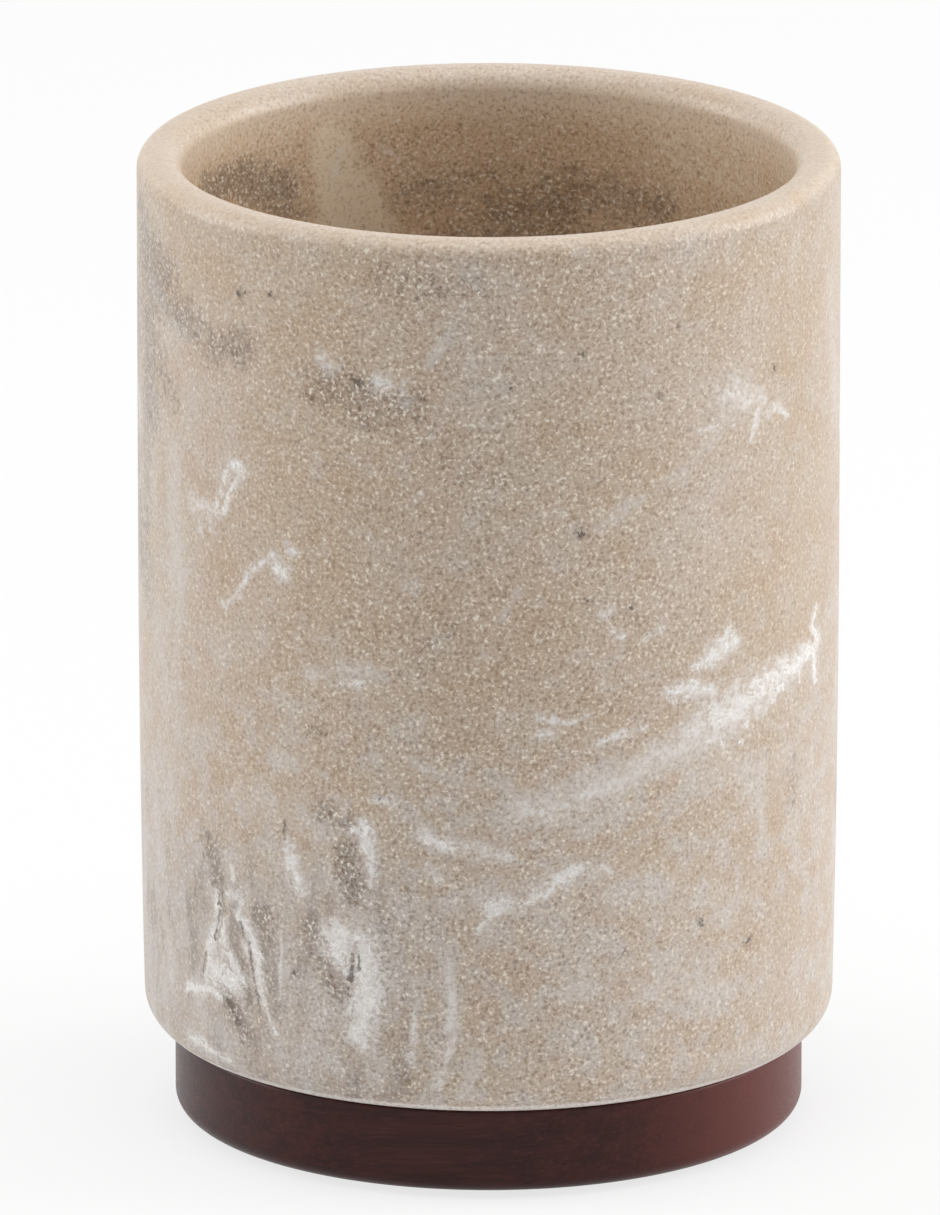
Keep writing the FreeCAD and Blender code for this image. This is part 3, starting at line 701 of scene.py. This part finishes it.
mathutils.noise.seed_set(BEND_SEED)
bends = [bent_by(vert.co) for vert in cup_mesh.vertices]
corner_places = [None] * len(cup_mesh.loops)
face_places = []
for face in cup_mesh.polygons:
    wall = which_wall(face.center)
    middle = turned_by(face.center, wall)
    places = []
    for corner, index in zip(face.loop_indices, face.vertices):
        spot = cup_mesh.vertices[index].co
        beyond = turned_by(spot, wall) - middle
        angle = middle + (beyond + math.pi) % (2 * math.pi) - math.pi
        corner_places[corner] = on_sheet(angle, spot.z / MM, wall) + bends[index]
        places.append(corner_places[corner])
    face_places.append(sum(places, Vector()) / len(places))
print("faces laid flat:", len(face_places))

# %% Lay the strokes on the sheet
WHOLE_TURN = 360


def laid_strokes(strokes, wall):
    """Strokes as (start, end, start width, end width, strength), again past the sheet's edge."""
    laid = []
    for start_angle, start_height, end_angle, end_height, *rest in strokes:
        for turn in (0, -WHOLE_TURN):
            start = on_sheet(math.radians(start_angle + turn), start_height, wall)
            end = on_sheet(math.radians(end_angle + turn), end_height, wall)
            laid.append((start, end, *rest))
    return laid


white_laid = laid_strokes(all_wisps_and_heel_highlight, "outer") + laid_strokes(BORE_WISPS, "bore")
dark_laid = laid_strokes(all_marks, "outer")
veils_and_sheen_laid = laid_strokes(all_veils_and_sheen, "outer") + laid_strokes(BORE_VEILS, "bore")
smudges_and_shade_laid = laid_strokes(all_smudges_and_shade, "outer") + laid_strokes(BORE_SMUDGES, "bore")
print("strokes on the sheet:", len(white_laid + dark_laid + veils_and_sheen_laid + smudges_and_shade_laid))

# %% Find the strokes near each face
FACE_REACH = 1.9
WHITE_KEPT, DARK_KEPT = 2, 1


def fullness(place, stroke):
    """1 on the stroke's line, 0 at its edge, and less than 0 beyond it."""
    start, end, start_width, end_width, _ = stroke
    line = end - start
    share = min(1.0, max(0.0, (place - start).dot(line) / line.length_squared))
    width = start_width + (end_width - start_width) * share
    return 1 - (place - start - line * share).length / width


def finder_of(places):
    """A search tree, which finds the places near a stroke quickly."""
    finder = mathutils.kdtree.KDTree(len(places))
    for index, place in enumerate(places):
        finder.insert(place, index)
    finder.balance()
    return finder


def near_stroke(finder, stroke, spare):
    """The places that the stroke may touch."""
    start, end, start_width, end_width, _ = stroke
    reach = (end - start).length / 2 + max(start_width, end_width) * HALO_REACH + spare
    return finder.find_range((start + end) / 2, reach)


face_finder = finder_of(face_places)


def nearest_strokes(strokes, count):
    """The fullest strokes for each face that has one near, as lists by the face's number."""
    found = {}
    for stroke in strokes:
        for place, index, _ in near_stroke(face_finder, stroke, FACE_REACH):
            found.setdefault(index, []).append((fullness(place, stroke), stroke))
    for index, choices in found.items():
        choices.sort(key=lambda choice: choice[0], reverse=True)
        found[index] = [stroke for _, stroke in choices[:count]]
    return found


white_strokes = nearest_strokes(white_laid, WHITE_KEPT)
dark_strokes = nearest_strokes(dark_laid, DARK_KEPT)
print("faces with a white stroke near:", len(white_strokes), "with a dark one:", len(dark_strokes))

# %% Write the strokes to the faces
no_stroke = (Vector(), Vector((1, 0, 0)), 1.0, 1.0, 0.0)
BRUSHES = ("first", "second", "dark")
starts = {name: [] for name in BRUSHES}
ends = {name: [] for name in BRUSHES}
strengths = []
for index in range(len(face_places)):
    white = (white_strokes.get(index, []) + [no_stroke] * WHITE_KEPT)[:WHITE_KEPT]
    chosen = white + dark_strokes.get(index, [no_stroke])
    for name, (start, end, start_width, end_width, strength) in zip(BRUSHES, chosen):
        starts[name].extend((start.x, start.y, start_width))
        ends[name].extend((end.x, end.y, end_width))
        strengths.append(strength)


def write_vectors(name, domain, numbers):
    """Keep three numbers for each face or corner of the cup."""
    cup_mesh.attributes.new(name, "FLOAT_VECTOR", domain).data.foreach_set("vector", numbers)


write_vectors("sheet_place", "CORNER", [value for place in corner_places for value in place])
for name in BRUSHES:
    write_vectors(name + "_start", "FACE", starts[name])
    write_vectors(name + "_end", "FACE", ends[name])
write_vectors("stroke_strengths", "FACE", strengths)
print("attributes of the cup:", [attribute.name for attribute in cup_mesh.attributes])

# %% Paint veils, smudges, painted sheen and painted shade on the vertices
vertex_places = []
for vert, shift in zip(cup_mesh.vertices, bends):
    wall = which_wall(vert.co)
    vertex_places.append(on_sheet(turned_by(vert.co, wall), vert.co.z / MM, wall) + shift)
vertex_finder = finder_of(vertex_places)


def soft_step(share):
    """A share from 0 to 1 that starts and ends gently."""
    return share * share * (3 - 2 * share)


def paint_vertices(name, strokes):
    """Paint soft strokes, and keep the strongest at each vertex."""
    values = [0.0] * len(vertex_places)
    for stroke in strokes:
        *_, strength = stroke
        for place, index, _ in near_stroke(vertex_finder, stroke, 0.0):
            share = max(0.0, fullness(place, stroke))
            values[index] = max(values[index], soft_step(share) * strength)
    cup_mesh.attributes.new(name, "FLOAT", "POINT").data.foreach_set("value", values)
    print(name, "covers", sum(value > 0 for value in values), "vertices")


# The veils painted here include the painted sheen near the edges.
paint_vertices("veil", veils_and_sheen_laid)
# The smudges painted here include painted shade at the left edge.
paint_vertices("smudge", smudges_and_shade_laid)

# %% [markdown]
# ## The resin
# The skin is built in layers, as the real one is. The ground is a tan that drifts between
# warm and grey. Veils, smudges and wisps lie over it, and noise bites into their edges, which
# is what makes them look poured and not drawn. Some of the veils are painted sheen, and one
# smudge is painted shade. The cream specks and brown grains are ground stone, so they are a
# noise with steps of about 0.4 mm. They go on last, because they lie in all of it. They fade
# in the veils, the wisps and the painted highlight of the rim, and stand out more in a smudge.
# A painted picture could show the same, but a picture is only as sharp as its pixels, and
# nodes stay sharp at any distance.

# %% Start a material and feed its shader
def new_material(name):
    """A material with an empty Principled BSDF, its tree, and its place in millimetres."""
    material = bpy.data.materials.new(name)
    material.use_nodes = True
    tree = material.node_tree
    tree.nodes.clear()
    shader = put(tree, "BsdfPrincipled")
    output = put(tree, "OutputMaterial")
    tree.links.new(shader.outputs["BSDF"], output.inputs["Surface"])
    own = put(tree, "TexCoord").outputs["Object"]
    return material, tree, shader, scaled(tree, own, 1 / MM)


def link_shader(tree, shader, colour, roughness, bump=None):
    """Feed the shader what changes over the surface."""
    tree.links.new(colour, shader.inputs["Base Color"])
    tree.links.new(roughness, shader.inputs["Roughness"])
    if bump:
        tree.links.new(bump, shader.inputs["Normal"])


def bump_of(tree, height, strength, distance):
    """A Bump node on a height, with its distance in metres."""
    inputs = {"Height": height, "Strength": strength, "Distance": distance}
    return put(tree, "Bump", inputs).outputs["Normal"]


# %% Read what was painted
SHEET_BEND, SHEET_SHIFT = 1.1, 1.3
resin, tree, resin_shader, place = new_material("cast resin")


def kept(name, output="Vector"):
    """What the mesh keeps under this name."""
    return put(tree, "Attribute", attribute_type="GEOMETRY", attribute_name=name).outputs[output]


bend_noise = noise(tree, place, SHEET_BEND, 3.0, 0.6, output=NOISE_COLOUR)
bend = vectors(tree, "SUBTRACT", bend_noise, (0.5, 0.5, 0.5))
sheet = vectors(tree, "ADD", kept("sheet_place"), scaled(tree, bend, SHEET_SHIFT))
strength_of = put(tree, "SeparateXYZ", {"Vector": kept("stroke_strengths")}).outputs
painted = {}
for name, axis in zip(BRUSHES, ("X", "Y", "Z")):
    painted[name] = use_group(tree, brush, {
        "Place": sheet, "Start": kept(name + "_start"), "End": kept(name + "_end"),
        "Strength": strength_of[axis]})
white_core = sums(tree, "MAXIMUM", painted["first"]["Core"], painted["second"]["Core"])
white_halo = sums(tree, "MAXIMUM", painted["first"]["Halo"], painted["second"]["Halo"])
print("brushes in the resin:", list(painted))

# %% Bite into the edges of wisps, marks, veils and painted sheen
BITE_SCALE, CURL_SCALE = 0.9, 0.8
bites = noise(tree, place, BITE_SCALE, 4.0, 0.65)
uneven = sums(tree, "SUBTRACT", bites, 0.5)
bitten = ease(tree, bites, 0.3, 0.68, 0.35, 1.4)
milk_and_heel_highlight = ease(tree, product(tree, white_core, bitten), 0.04, 0.8)
marks = ease(tree, product(tree, painted["dark"]["Core"], bitten), 0.05, 0.6)
halo = ease(tree, sums(tree, "ADD", white_halo, uneven), 0.1, 0.9)
soft_veils_and_sheen = ease(tree, sums(tree, "ADD", kept("veil", "Fac"), uneven), 0.1, 0.75)
veils_and_sheen = sums(tree, "MAXIMUM", halo, soft_veils_and_sheen)
curls = noise(tree, place, CURL_SCALE, 2.0, 0.6, distortion=0.9)
curl_lines = ease(tree, sums(tree, "ABSOLUTE", sums(tree, "SUBTRACT", curls, 0.5)), 0.05, 0.0)
threads = product(tree, curl_lines, ease(tree, white_halo, 0.3, 0.8))
print("resin nodes so far:", len(tree.nodes))

# %% Mottle the smudges and the painted shade
MARK_SHADOW, MOTTLE = 0.6, 1.7
smudge_and_shade_paint = sums(tree, "MAXIMUM", kept("smudge", "Fac"),
                    product(tree, painted["dark"]["Halo"], MARK_SHADOW))
mottled = sums(tree, "MULTIPLY_ADD", uneven, MOTTLE, smudge_and_shade_paint)
mottled = product(tree, mottled, ease(tree, smudge_and_shade_paint, 0.0, 0.25))
smudges_and_shade = ease(tree, mottled, 0.12, 0.85)
print("resin nodes so far:", len(tree.nodes))

# %% [markdown]
# ## The ground of the resin
# On the real cup the ground isn't even. A grey haze lies in the lower half, and at the lower
# left it runs down in pale and dim streaks. The bore is warmer. The rim and the top of the
# bore's wall are painted lighter, a painted highlight of the light from above, and the lowest
# lip gets a painted reflection of the white floor. Such zones could be painted on the vertices
# too, but plain heights and distances keep their edges soft and are easy to move. One list
# then lays the colours over each other, in the order in which they cover each other.

# %% Where the ground changes
BORE_FROM, BORE_FULL = 35.8, 33.2
HAZE_TOP, HAZE_FULL = 66.0, 40.0
RUNS_TOP, RUNS_FULL = 44.0, 28.0
RUNS_RIGHT, RUNS_LEFT = -2.0, -14.0
RUN_SCALE, RUN_SHAPE = 0.45, (1, 1, 0.22)
axes = put(tree, "SeparateXYZ", {"Vector": place}).outputs
sideways_mm, height_mm = axes["X"], axes["Z"]
radius = vectors(tree, "LENGTH", vectors(tree, "MULTIPLY", place, LEVEL))
in_bore = ease(tree, radius, BORE_FROM, BORE_FULL)
drift = drift_of(tree, place, 22.0)
warmth = drift_of(tree, place, 7.0)
patch_noise = noise(tree, place, 0.3, 4.0, 0.6)
blotch = ease(tree, patch_noise, 0.52, 0.66)
lower_half = ease(tree, height_mm, HAZE_TOP, HAZE_FULL)
haze = product(tree, ease(tree, patch_noise, 0.42, 0.6), lower_half)
runs = noise(tree, vectors(tree, "MULTIPLY", place, RUN_SHAPE), RUN_SCALE, 3.0, 0.6)
left_of_front = ease(tree, sideways_mm, RUNS_RIGHT, RUNS_LEFT)
run_zone = product(tree, ease(tree, height_mm, RUNS_TOP, RUNS_FULL), left_of_front)
pale_runs = product(tree, ease(tree, runs, 0.5, 0.68), run_zone)
dim_runs = product(tree, ease(tree, runs, 0.5, 0.34), run_zone)
print("resin nodes so far:", len(tree.nodes))

# %% Painted highlights on the rim and the bore's top, and a painted reflection on the lip
RIM_FROM, RIM_FULL, RIM_DEEPER = 104.9, 106.3, 6.0
WALL_FROM, WALL_FULL, WALL_FADES, WALL_ENDS = 99.5, 104.0, 104.6, 106.0
TAN_FROM, TAN_FULL = 105.2, 102.0
LIP_FROM, LIP_FULL, LIP_WAVE = 11.3, 10.8, 0.8
# The rim and the top of the bore's wall are painted lighter: a painted highlight.
rim_highlight_from = sums(tree, "MULTIPLY_ADD", in_bore, -RIM_DEEPER, RIM_FROM)
rim_highlight = ease(tree, height_mm, rim_highlight_from, RIM_FULL)
below_rim = product(tree, in_bore, ease(tree, height_mm, TAN_FROM, TAN_FULL))
upper_wall_highlight = product(tree, in_bore, ease(tree, height_mm, WALL_FROM, WALL_FULL),
                     ease(tree, height_mm, WALL_ENDS, WALL_FADES))
# The lowest lip is painted lighter: a painted reflection of the white floor.
lip_floor_reflection = ease(tree, sums(tree, "MULTIPLY_ADD", uneven, LIP_WAVE, height_mm), LIP_FROM, LIP_FULL)
print("resin nodes so far:", len(tree.nodes))

# %% Lay the colours over each other
def lay_over(tree, ground, layers):
    """Colours laid over a ground in turn, each written as (mask, share, colour)."""
    for mask, share, colour in layers:
        ground = mix(tree, product(tree, mask, share), ground, colour)
    return ground


veil_and_sheen_tone = mix(tree, in_bore, seen(206, 199, 194), seen(243, 230, 206))
stone = mix(tree, drift, seen(187, 169, 149), seen(192, 178, 165))
stone = lay_over(tree, stone, [
    (warmth, 0.5, seen(181, 155, 129)),
    (blotch, 0.35, seen(196, 188, 181)),
    (below_rim, 0.5, seen(222, 187, 144)),
    (haze, 0.48, seen(198, 190, 185)),
    (run_zone, 0.26, seen(158, 159, 163)),
    (dim_runs, 0.55, seen(142, 131, 125)),
    (pale_runs, 0.38, seen(208, 202, 199)),
    (veils_and_sheen, 0.6, veil_and_sheen_tone),
    (smudges_and_shade, 0.55, seen(116, 103, 94)),
    (milk_and_heel_highlight, 0.74, seen(226, 223, 220)),
    (threads, 0.8, seen(242, 240, 238)),
    (marks, 0.72, seen(76, 68, 64)),
    # Painted highlight on the rim and on the top of the bore's wall:
    (rim_highlight, 0.4, seen(234, 214, 192)),
    (upper_wall_highlight, 0.45, seen(238, 218, 194)),
    # Painted reflection of the white floor on the lowest lip:
    (lip_floor_reflection, 0.85, seen(252, 246, 241))])
print("resin nodes so far:", len(tree.nodes))

# %% [markdown]
# ## Specks and grains
# The cream specks and the brown grains are bits of ground stone, and two bits never lie in
# one spot. Two noises could make them, but they would cross each other. So one noise makes
# both: its peaks are the specks, and its valleys are the grains. They show best in front and
# are painted fainter towards the sides, a painted sheen of the light that grazes the skin.

# %% Where the grain shows
FRONT_HALF, SIDE_FULL = 6.0, 36.0
FRONT_GRAIN, SIDE_GRAIN, BORE_GRAIN = 0.92, 0.52, 0.85
from_front = sums(tree, "ABSOLUTE", sideways_mm)
# Fainter grain towards the sides is painted sheen of the grazing light.
grain_here = ease(tree, from_front, FRONT_HALF, SIDE_FULL, FRONT_GRAIN, SIDE_GRAIN)
grain_here = sums(tree, "MAXIMUM", grain_here, product(tree, in_bore, BORE_GRAIN))
faded = sums(tree, "ADD", product(tree, veils_and_sheen, 0.35), product(tree, milk_and_heel_highlight, 0.3))
faded = sums(tree, "ADD", faded, product(tree, rim_highlight, 0.35), clamp=True)
grain_here = product(tree, grain_here, sums(tree, "SUBTRACT", 1.0, faded))
smudged_and_shaded = product(tree, smudges_and_shade, sums(tree, "MULTIPLY_ADD", in_bore, -0.7, 1.0))
print("resin nodes so far:", len(tree.nodes))

# %% Specks and grains
SPECK_SCALE, SPECK_TWIST = 2.6, 0.5
flecks = noise(tree, place, SPECK_SCALE, 1.0, 0.5, distortion=SPECK_TWIST)
sparks = ease(tree, flecks, 0.65, 0.72, 0.0, 0.35)
specks = sums(tree, "ADD", ease(tree, flecks, 0.5, 0.74, 0.0, 0.6), sparks)
specks = product(tree, specks, grain_here, sums(tree, "MULTIPLY_ADD", smudged_and_shaded, 0.6, 1.0))
dots = ease(tree, flecks, 0.36, 0.3, 0.0, 0.2)
grains = sums(tree, "ADD", ease(tree, flecks, 0.52, 0.28, 0.0, 0.42), dots)
grains = product(tree, grains, grain_here, sums(tree, "ADD", smudged_and_shaded, 1.0))
stone = mix(tree, specks, stone, seen(232, 223, 209))
stone = mix(tree, grains, stone, seen(122, 98, 76))
print("resin nodes so far:", len(tree.nodes))

# %% Gloss and relief of the resin
gloss = toothed(tree, place, 0.5, 0.1, 0.3)
relief = sums(tree, "SUBTRACT", product(tree, flecks, 0.5), marks)
link_shader(tree, resin_shader, stone, gloss, bump_of(tree, relief, 0.12, 0.05 * MM))
resin_shader.inputs["IOR"].default_value = 1.4
cup_piece.data.materials.append(resin)
print("resin nodes:", len(tree.nodes))

# %% [markdown]
# ## The stained wood
# The disc was turned from a board, so its grain runs straight across it: long lines on the
# front and back of the side, and pores on the two ends. A Wave texture wrapped round the disc
# would look like a turned log. Noise that is stretched along X, in the piece's own space,
# shows the long lines and the pores in the right places by itself. The stain turns redder and
# lighter towards the right end.

# %% Wood grain, stain and lacquer
GRAIN_TILT, GRAIN_TURN = math.radians(4), math.radians(12)
RED_FROM, RED_FULL = 10.0, 32.0
wood, tree, wood_shader, place = new_material("stained wood")
turn = {"Vector": place, "Rotation": (0, GRAIN_TILT, GRAIN_TURN)}
board = put(tree, "Mapping", turn).outputs["Vector"]


def stretched(share):
    """The board's place, with X shrunk to this share, so that noise is drawn out along X."""
    return vectors(tree, "MULTIPLY", board, (share, 1.0, 1.0))


fibres = stretched(0.05)
streaks = noise(tree, fibres, 0.55, 4.0, 0.6)
lines = noise(tree, stretched(0.03), 2.6, 3.0, 0.65)
pores = ease(tree, noise(tree, stretched(0.12), 4.5, 2.0), 0.6, 0.72)
drift = drift_of(tree, fibres, 7.0)
across = put(tree, "SeparateXYZ", {"Vector": place}).outputs["X"]
stain = mix(tree, ease(tree, streaks, 0.35, 0.65), seen(44, 17, 15), seen(62, 26, 23))
stain = lay_over(tree, stain, [
    (drift, 0.5, seen(46, 21, 20)),
    (ease(tree, lines, 0.45, 0.7), 0.3, seen(88, 46, 38)),
    (pores, 0.4, seen(30, 15, 14)),
    (ease(tree, across, RED_FROM, RED_FULL), 0.6, seen(112, 54, 46))])
lacquer = toothed(tree, place, 0.4, 0.08, 0.32)
relief = sums(tree, "ADD", product(tree, lines, 0.6), product(tree, pores, -0.6))
link_shader(tree, wood_shader, stain, lacquer, bump_of(tree, relief, 0.25, 0.04 * MM))
wood_shader.inputs["IOR"].default_value = 1.3
base_piece.data.materials.append(wood)
print("wood nodes:", len(tree.nodes))

# %% [markdown]
# ## Foam and adhesive
# The foot is closed-cell foam with a skin of tiny pits. They could be cut into the mesh, but
# they are so fine that a Voronoi texture and a bump show them as well. The adhesive is a film
# of honey coloured epoxy that never shows once the tumbler is together. The piece is there
# all the same, so it gets its finish: trapped bubbles, and a slow change of tone where it was
# spread.

# %% Foam cells
def cells_of(tree, place, scale):
    """How far a place lies from the middle of the cell that it is in."""
    return put(tree, "TexVoronoi", {"Vector": place, "Scale": scale}).outputs["Distance"]


foam, tree, foam_shader, place = new_material("closed-cell foam")
hollows = ease(tree, cells_of(tree, place, 2.2), 0.1, 0.55)
drift = drift_of(tree, place, 12.0)
skin = mix(tree, drift, seen(46, 44, 43), seen(58, 56, 54))
# The hollows are painted darker too: painted shade in the pits of the skin.
skin = mix(tree, product(tree, hollows, 0.5), seen(30, 29, 28), skin)
dullness = toothed(tree, place, 0.2, 0.12, 0.78)
link_shader(tree, foam_shader, skin, dullness, bump_of(tree, hollows, 0.5, 0.1 * MM))
foot_piece.data.materials.append(foam)
print("foam nodes:", len(tree.nodes))

# %% Adhesive film
epoxy, tree, epoxy_shader, place = new_material("epoxy film")
spread = drift_of(tree, place, 14.0)
tone = mix(tree, spread, seen(205, 186, 138), seen(226, 214, 180))
bubbles = cells_of(tree, place, 0.7)
tone = mix(tree, ease(tree, bubbles, 0.16, 0.1, 0.0, 0.5), tone, seen(240, 236, 222))
link_shader(tree, epoxy_shader, tone, toothed(tree, place, 1.5, 0.1, 0.14))
film_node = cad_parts["bonding_film"]
film_node.data.materials.clear()
film_node.data.materials.append(epoxy)
print("materials:", [material.name for material in (resin, wood, foam, epoxy)])

# %% [markdown]
# ## Floor and backdrop
# The photograph stands the tumbler on plain white. A white floor that is lit to white would
# need more light than the object can take, so the floor is a pale diffuse surface that the
# camera sees partly as plain white. Its share of real shading keeps the tumbler's shadow.

# %% The floor
FLOOR_HALF = 4.0
floor_bm = bmesh.new()
bmesh.ops.create_grid(floor_bm, x_segments=1, y_segments=1, size=FLOOR_HALF)
floor_mesh = bpy.data.meshes.new("floor")
floor_bm.to_mesh(floor_mesh)
floor_bm.free()
floor = bpy.data.objects.new("floor", floor_mesh)
bpy.context.scene.collection.objects.link(floor)
print("floor is", 2 * FLOOR_HALF, "metres wide")

# %% The floor's paper and the white world
PURE_WHITE = (1, 1, 1, 1)


def background_rays(tree):
    """1 for the rays by which the camera, gloss or glass sees the background."""
    rays = put(tree, "LightPath").outputs
    shiny = sums(tree, "MAXIMUM", rays["Is Glossy Ray"], rays["Is Transmission Ray"])
    return sums(tree, "MAXIMUM", rays["Is Camera Ray"], shiny)


FLOOR_WHITE_SHARE = 0.75
paper = bpy.data.materials.new("white paper")
paper.use_nodes = True
tree = paper.node_tree
tree.nodes.clear()
paper_noise = noise(tree, put(tree, "TexCoord").outputs["Object"], 3.0)
paper_grain = mix(tree, paper_noise, seen(243, 243, 243), seen(247, 247, 247))
diffuse = put(tree, "BsdfDiffuse", {"Color": paper_grain}).outputs["BSDF"]
white = put(tree, "Emission", {"Color": PURE_WHITE, "Strength": 1.0}).outputs["Emission"]
white_share = sums(tree, "MULTIPLY", background_rays(tree), FLOOR_WHITE_SHARE)
paper_mix = put(tree, "MixShader", {0: white_share, 1: diffuse, 2: white}).outputs["Shader"]
tree.links.new(paper_mix, put(tree, "OutputMaterial").inputs["Surface"])
floor_mesh.materials.append(paper)

AMBIENT = 0.48
world = bpy.data.worlds.new("studio")
bpy.context.scene.world = world
world.use_nodes = True
tree = world.node_tree
tree.nodes.clear()
strength = ease(tree, background_rays(tree), 0.0, 1.0, AMBIENT, 1.0)
sky = put(tree, "Background", {"Color": PURE_WHITE, "Strength": strength}).outputs["Background"]
tree.links.new(sky, put(tree, "OutputWorld").inputs["Surface"])
print("the world lights the object at", AMBIENT)

# %% [markdown]
# ## Light
# The front of the cup is its darkest part, and it brightens towards both sides, more so and
# more widely on the right. That is the sign of two tall softboxes beside the object and a
# touch behind it, with only the room's light in front. Their soft reflections draw the pale
# upright band near the left edge, and painted sheen in the resin's colour adds to it. A wide
# light overhead brightens the rim, and a painted highlight adds to that too. A studio picture
# wrapped round the world could do all of it, but a few lamps can be moved one at a time.

# %% Softboxes
def softbox(name, azimuth, elevation, distance, size, power):
    """A rectangular area light that looks at the object. Azimuth 0 is beside the camera."""
    aim = Vector((0, 0, (CUP_TOP + CUP_BOTTOM) / 2))
    turned, raised = math.radians(azimuth), math.radians(elevation)
    level = math.cos(raised)
    towards = Vector((math.sin(turned) * level, -math.cos(turned) * level, math.sin(raised)))
    data = bpy.data.lights.new(name, "AREA")
    data.shape = "RECTANGLE"
    data.size, data.size_y = size
    data.energy = power
    lamp = bpy.data.objects.new(name, data)
    lamp.location = aim + towards * distance
    lamp.rotation_euler = towards.to_track_quat("Z", "Y").to_euler()
    bpy.context.scene.collection.objects.link(lamp)
    print(name, "stands at", [round(value, 2) for value in lamp.location])


softbox("left softbox", -97, 12, 1.2, (0.5, 1.1), 7.7)
softbox("right softbox", 95, 12, 1.2, (0.8, 1.1), 12.7)
softbox("overhead", 0, 86, 1.3, (1.0, 1.0), 6.5)

# %% [markdown]
# ## Camera
# The edges of the cup hardly converge, so the photograph was taken from far away through a
# long lens, from a little above. The lens and distance were fitted to the outline: the
# widths at the rim and heel, and the shapes of the rim's two ellipses. The object stands a
# little right of and below the middle of the frame. Lens shift could give that too, but it
# is simpler to aim the camera a little beside the object.

# %% The camera
LENS = 690.0
CAMERA_DISTANCE = 2.493
CAMERA_ELEVATION = math.radians(16.37)
AIM = Vector((-2.0 * MM, 0, 55.8 * MM))
camera_data = bpy.data.cameras.new("camera")
camera_data.sensor_width = 36.0
camera_data.lens = LENS
camera_data.clip_start, camera_data.clip_end = 0.1, 50.0
camera = bpy.data.objects.new("camera", camera_data)
back = Vector((0, -math.cos(CAMERA_ELEVATION), math.sin(CAMERA_ELEVATION)))
camera.location = AIM + back * CAMERA_DISTANCE
camera.rotation_euler = back.to_track_quat("Z", "Y").to_euler()
bpy.context.scene.collection.objects.link(camera)
bpy.context.scene.camera = camera
bpy.context.scene.view_settings.view_transform = "Standard"
print("the camera stands at", [round(value, 3) for value in camera.location])
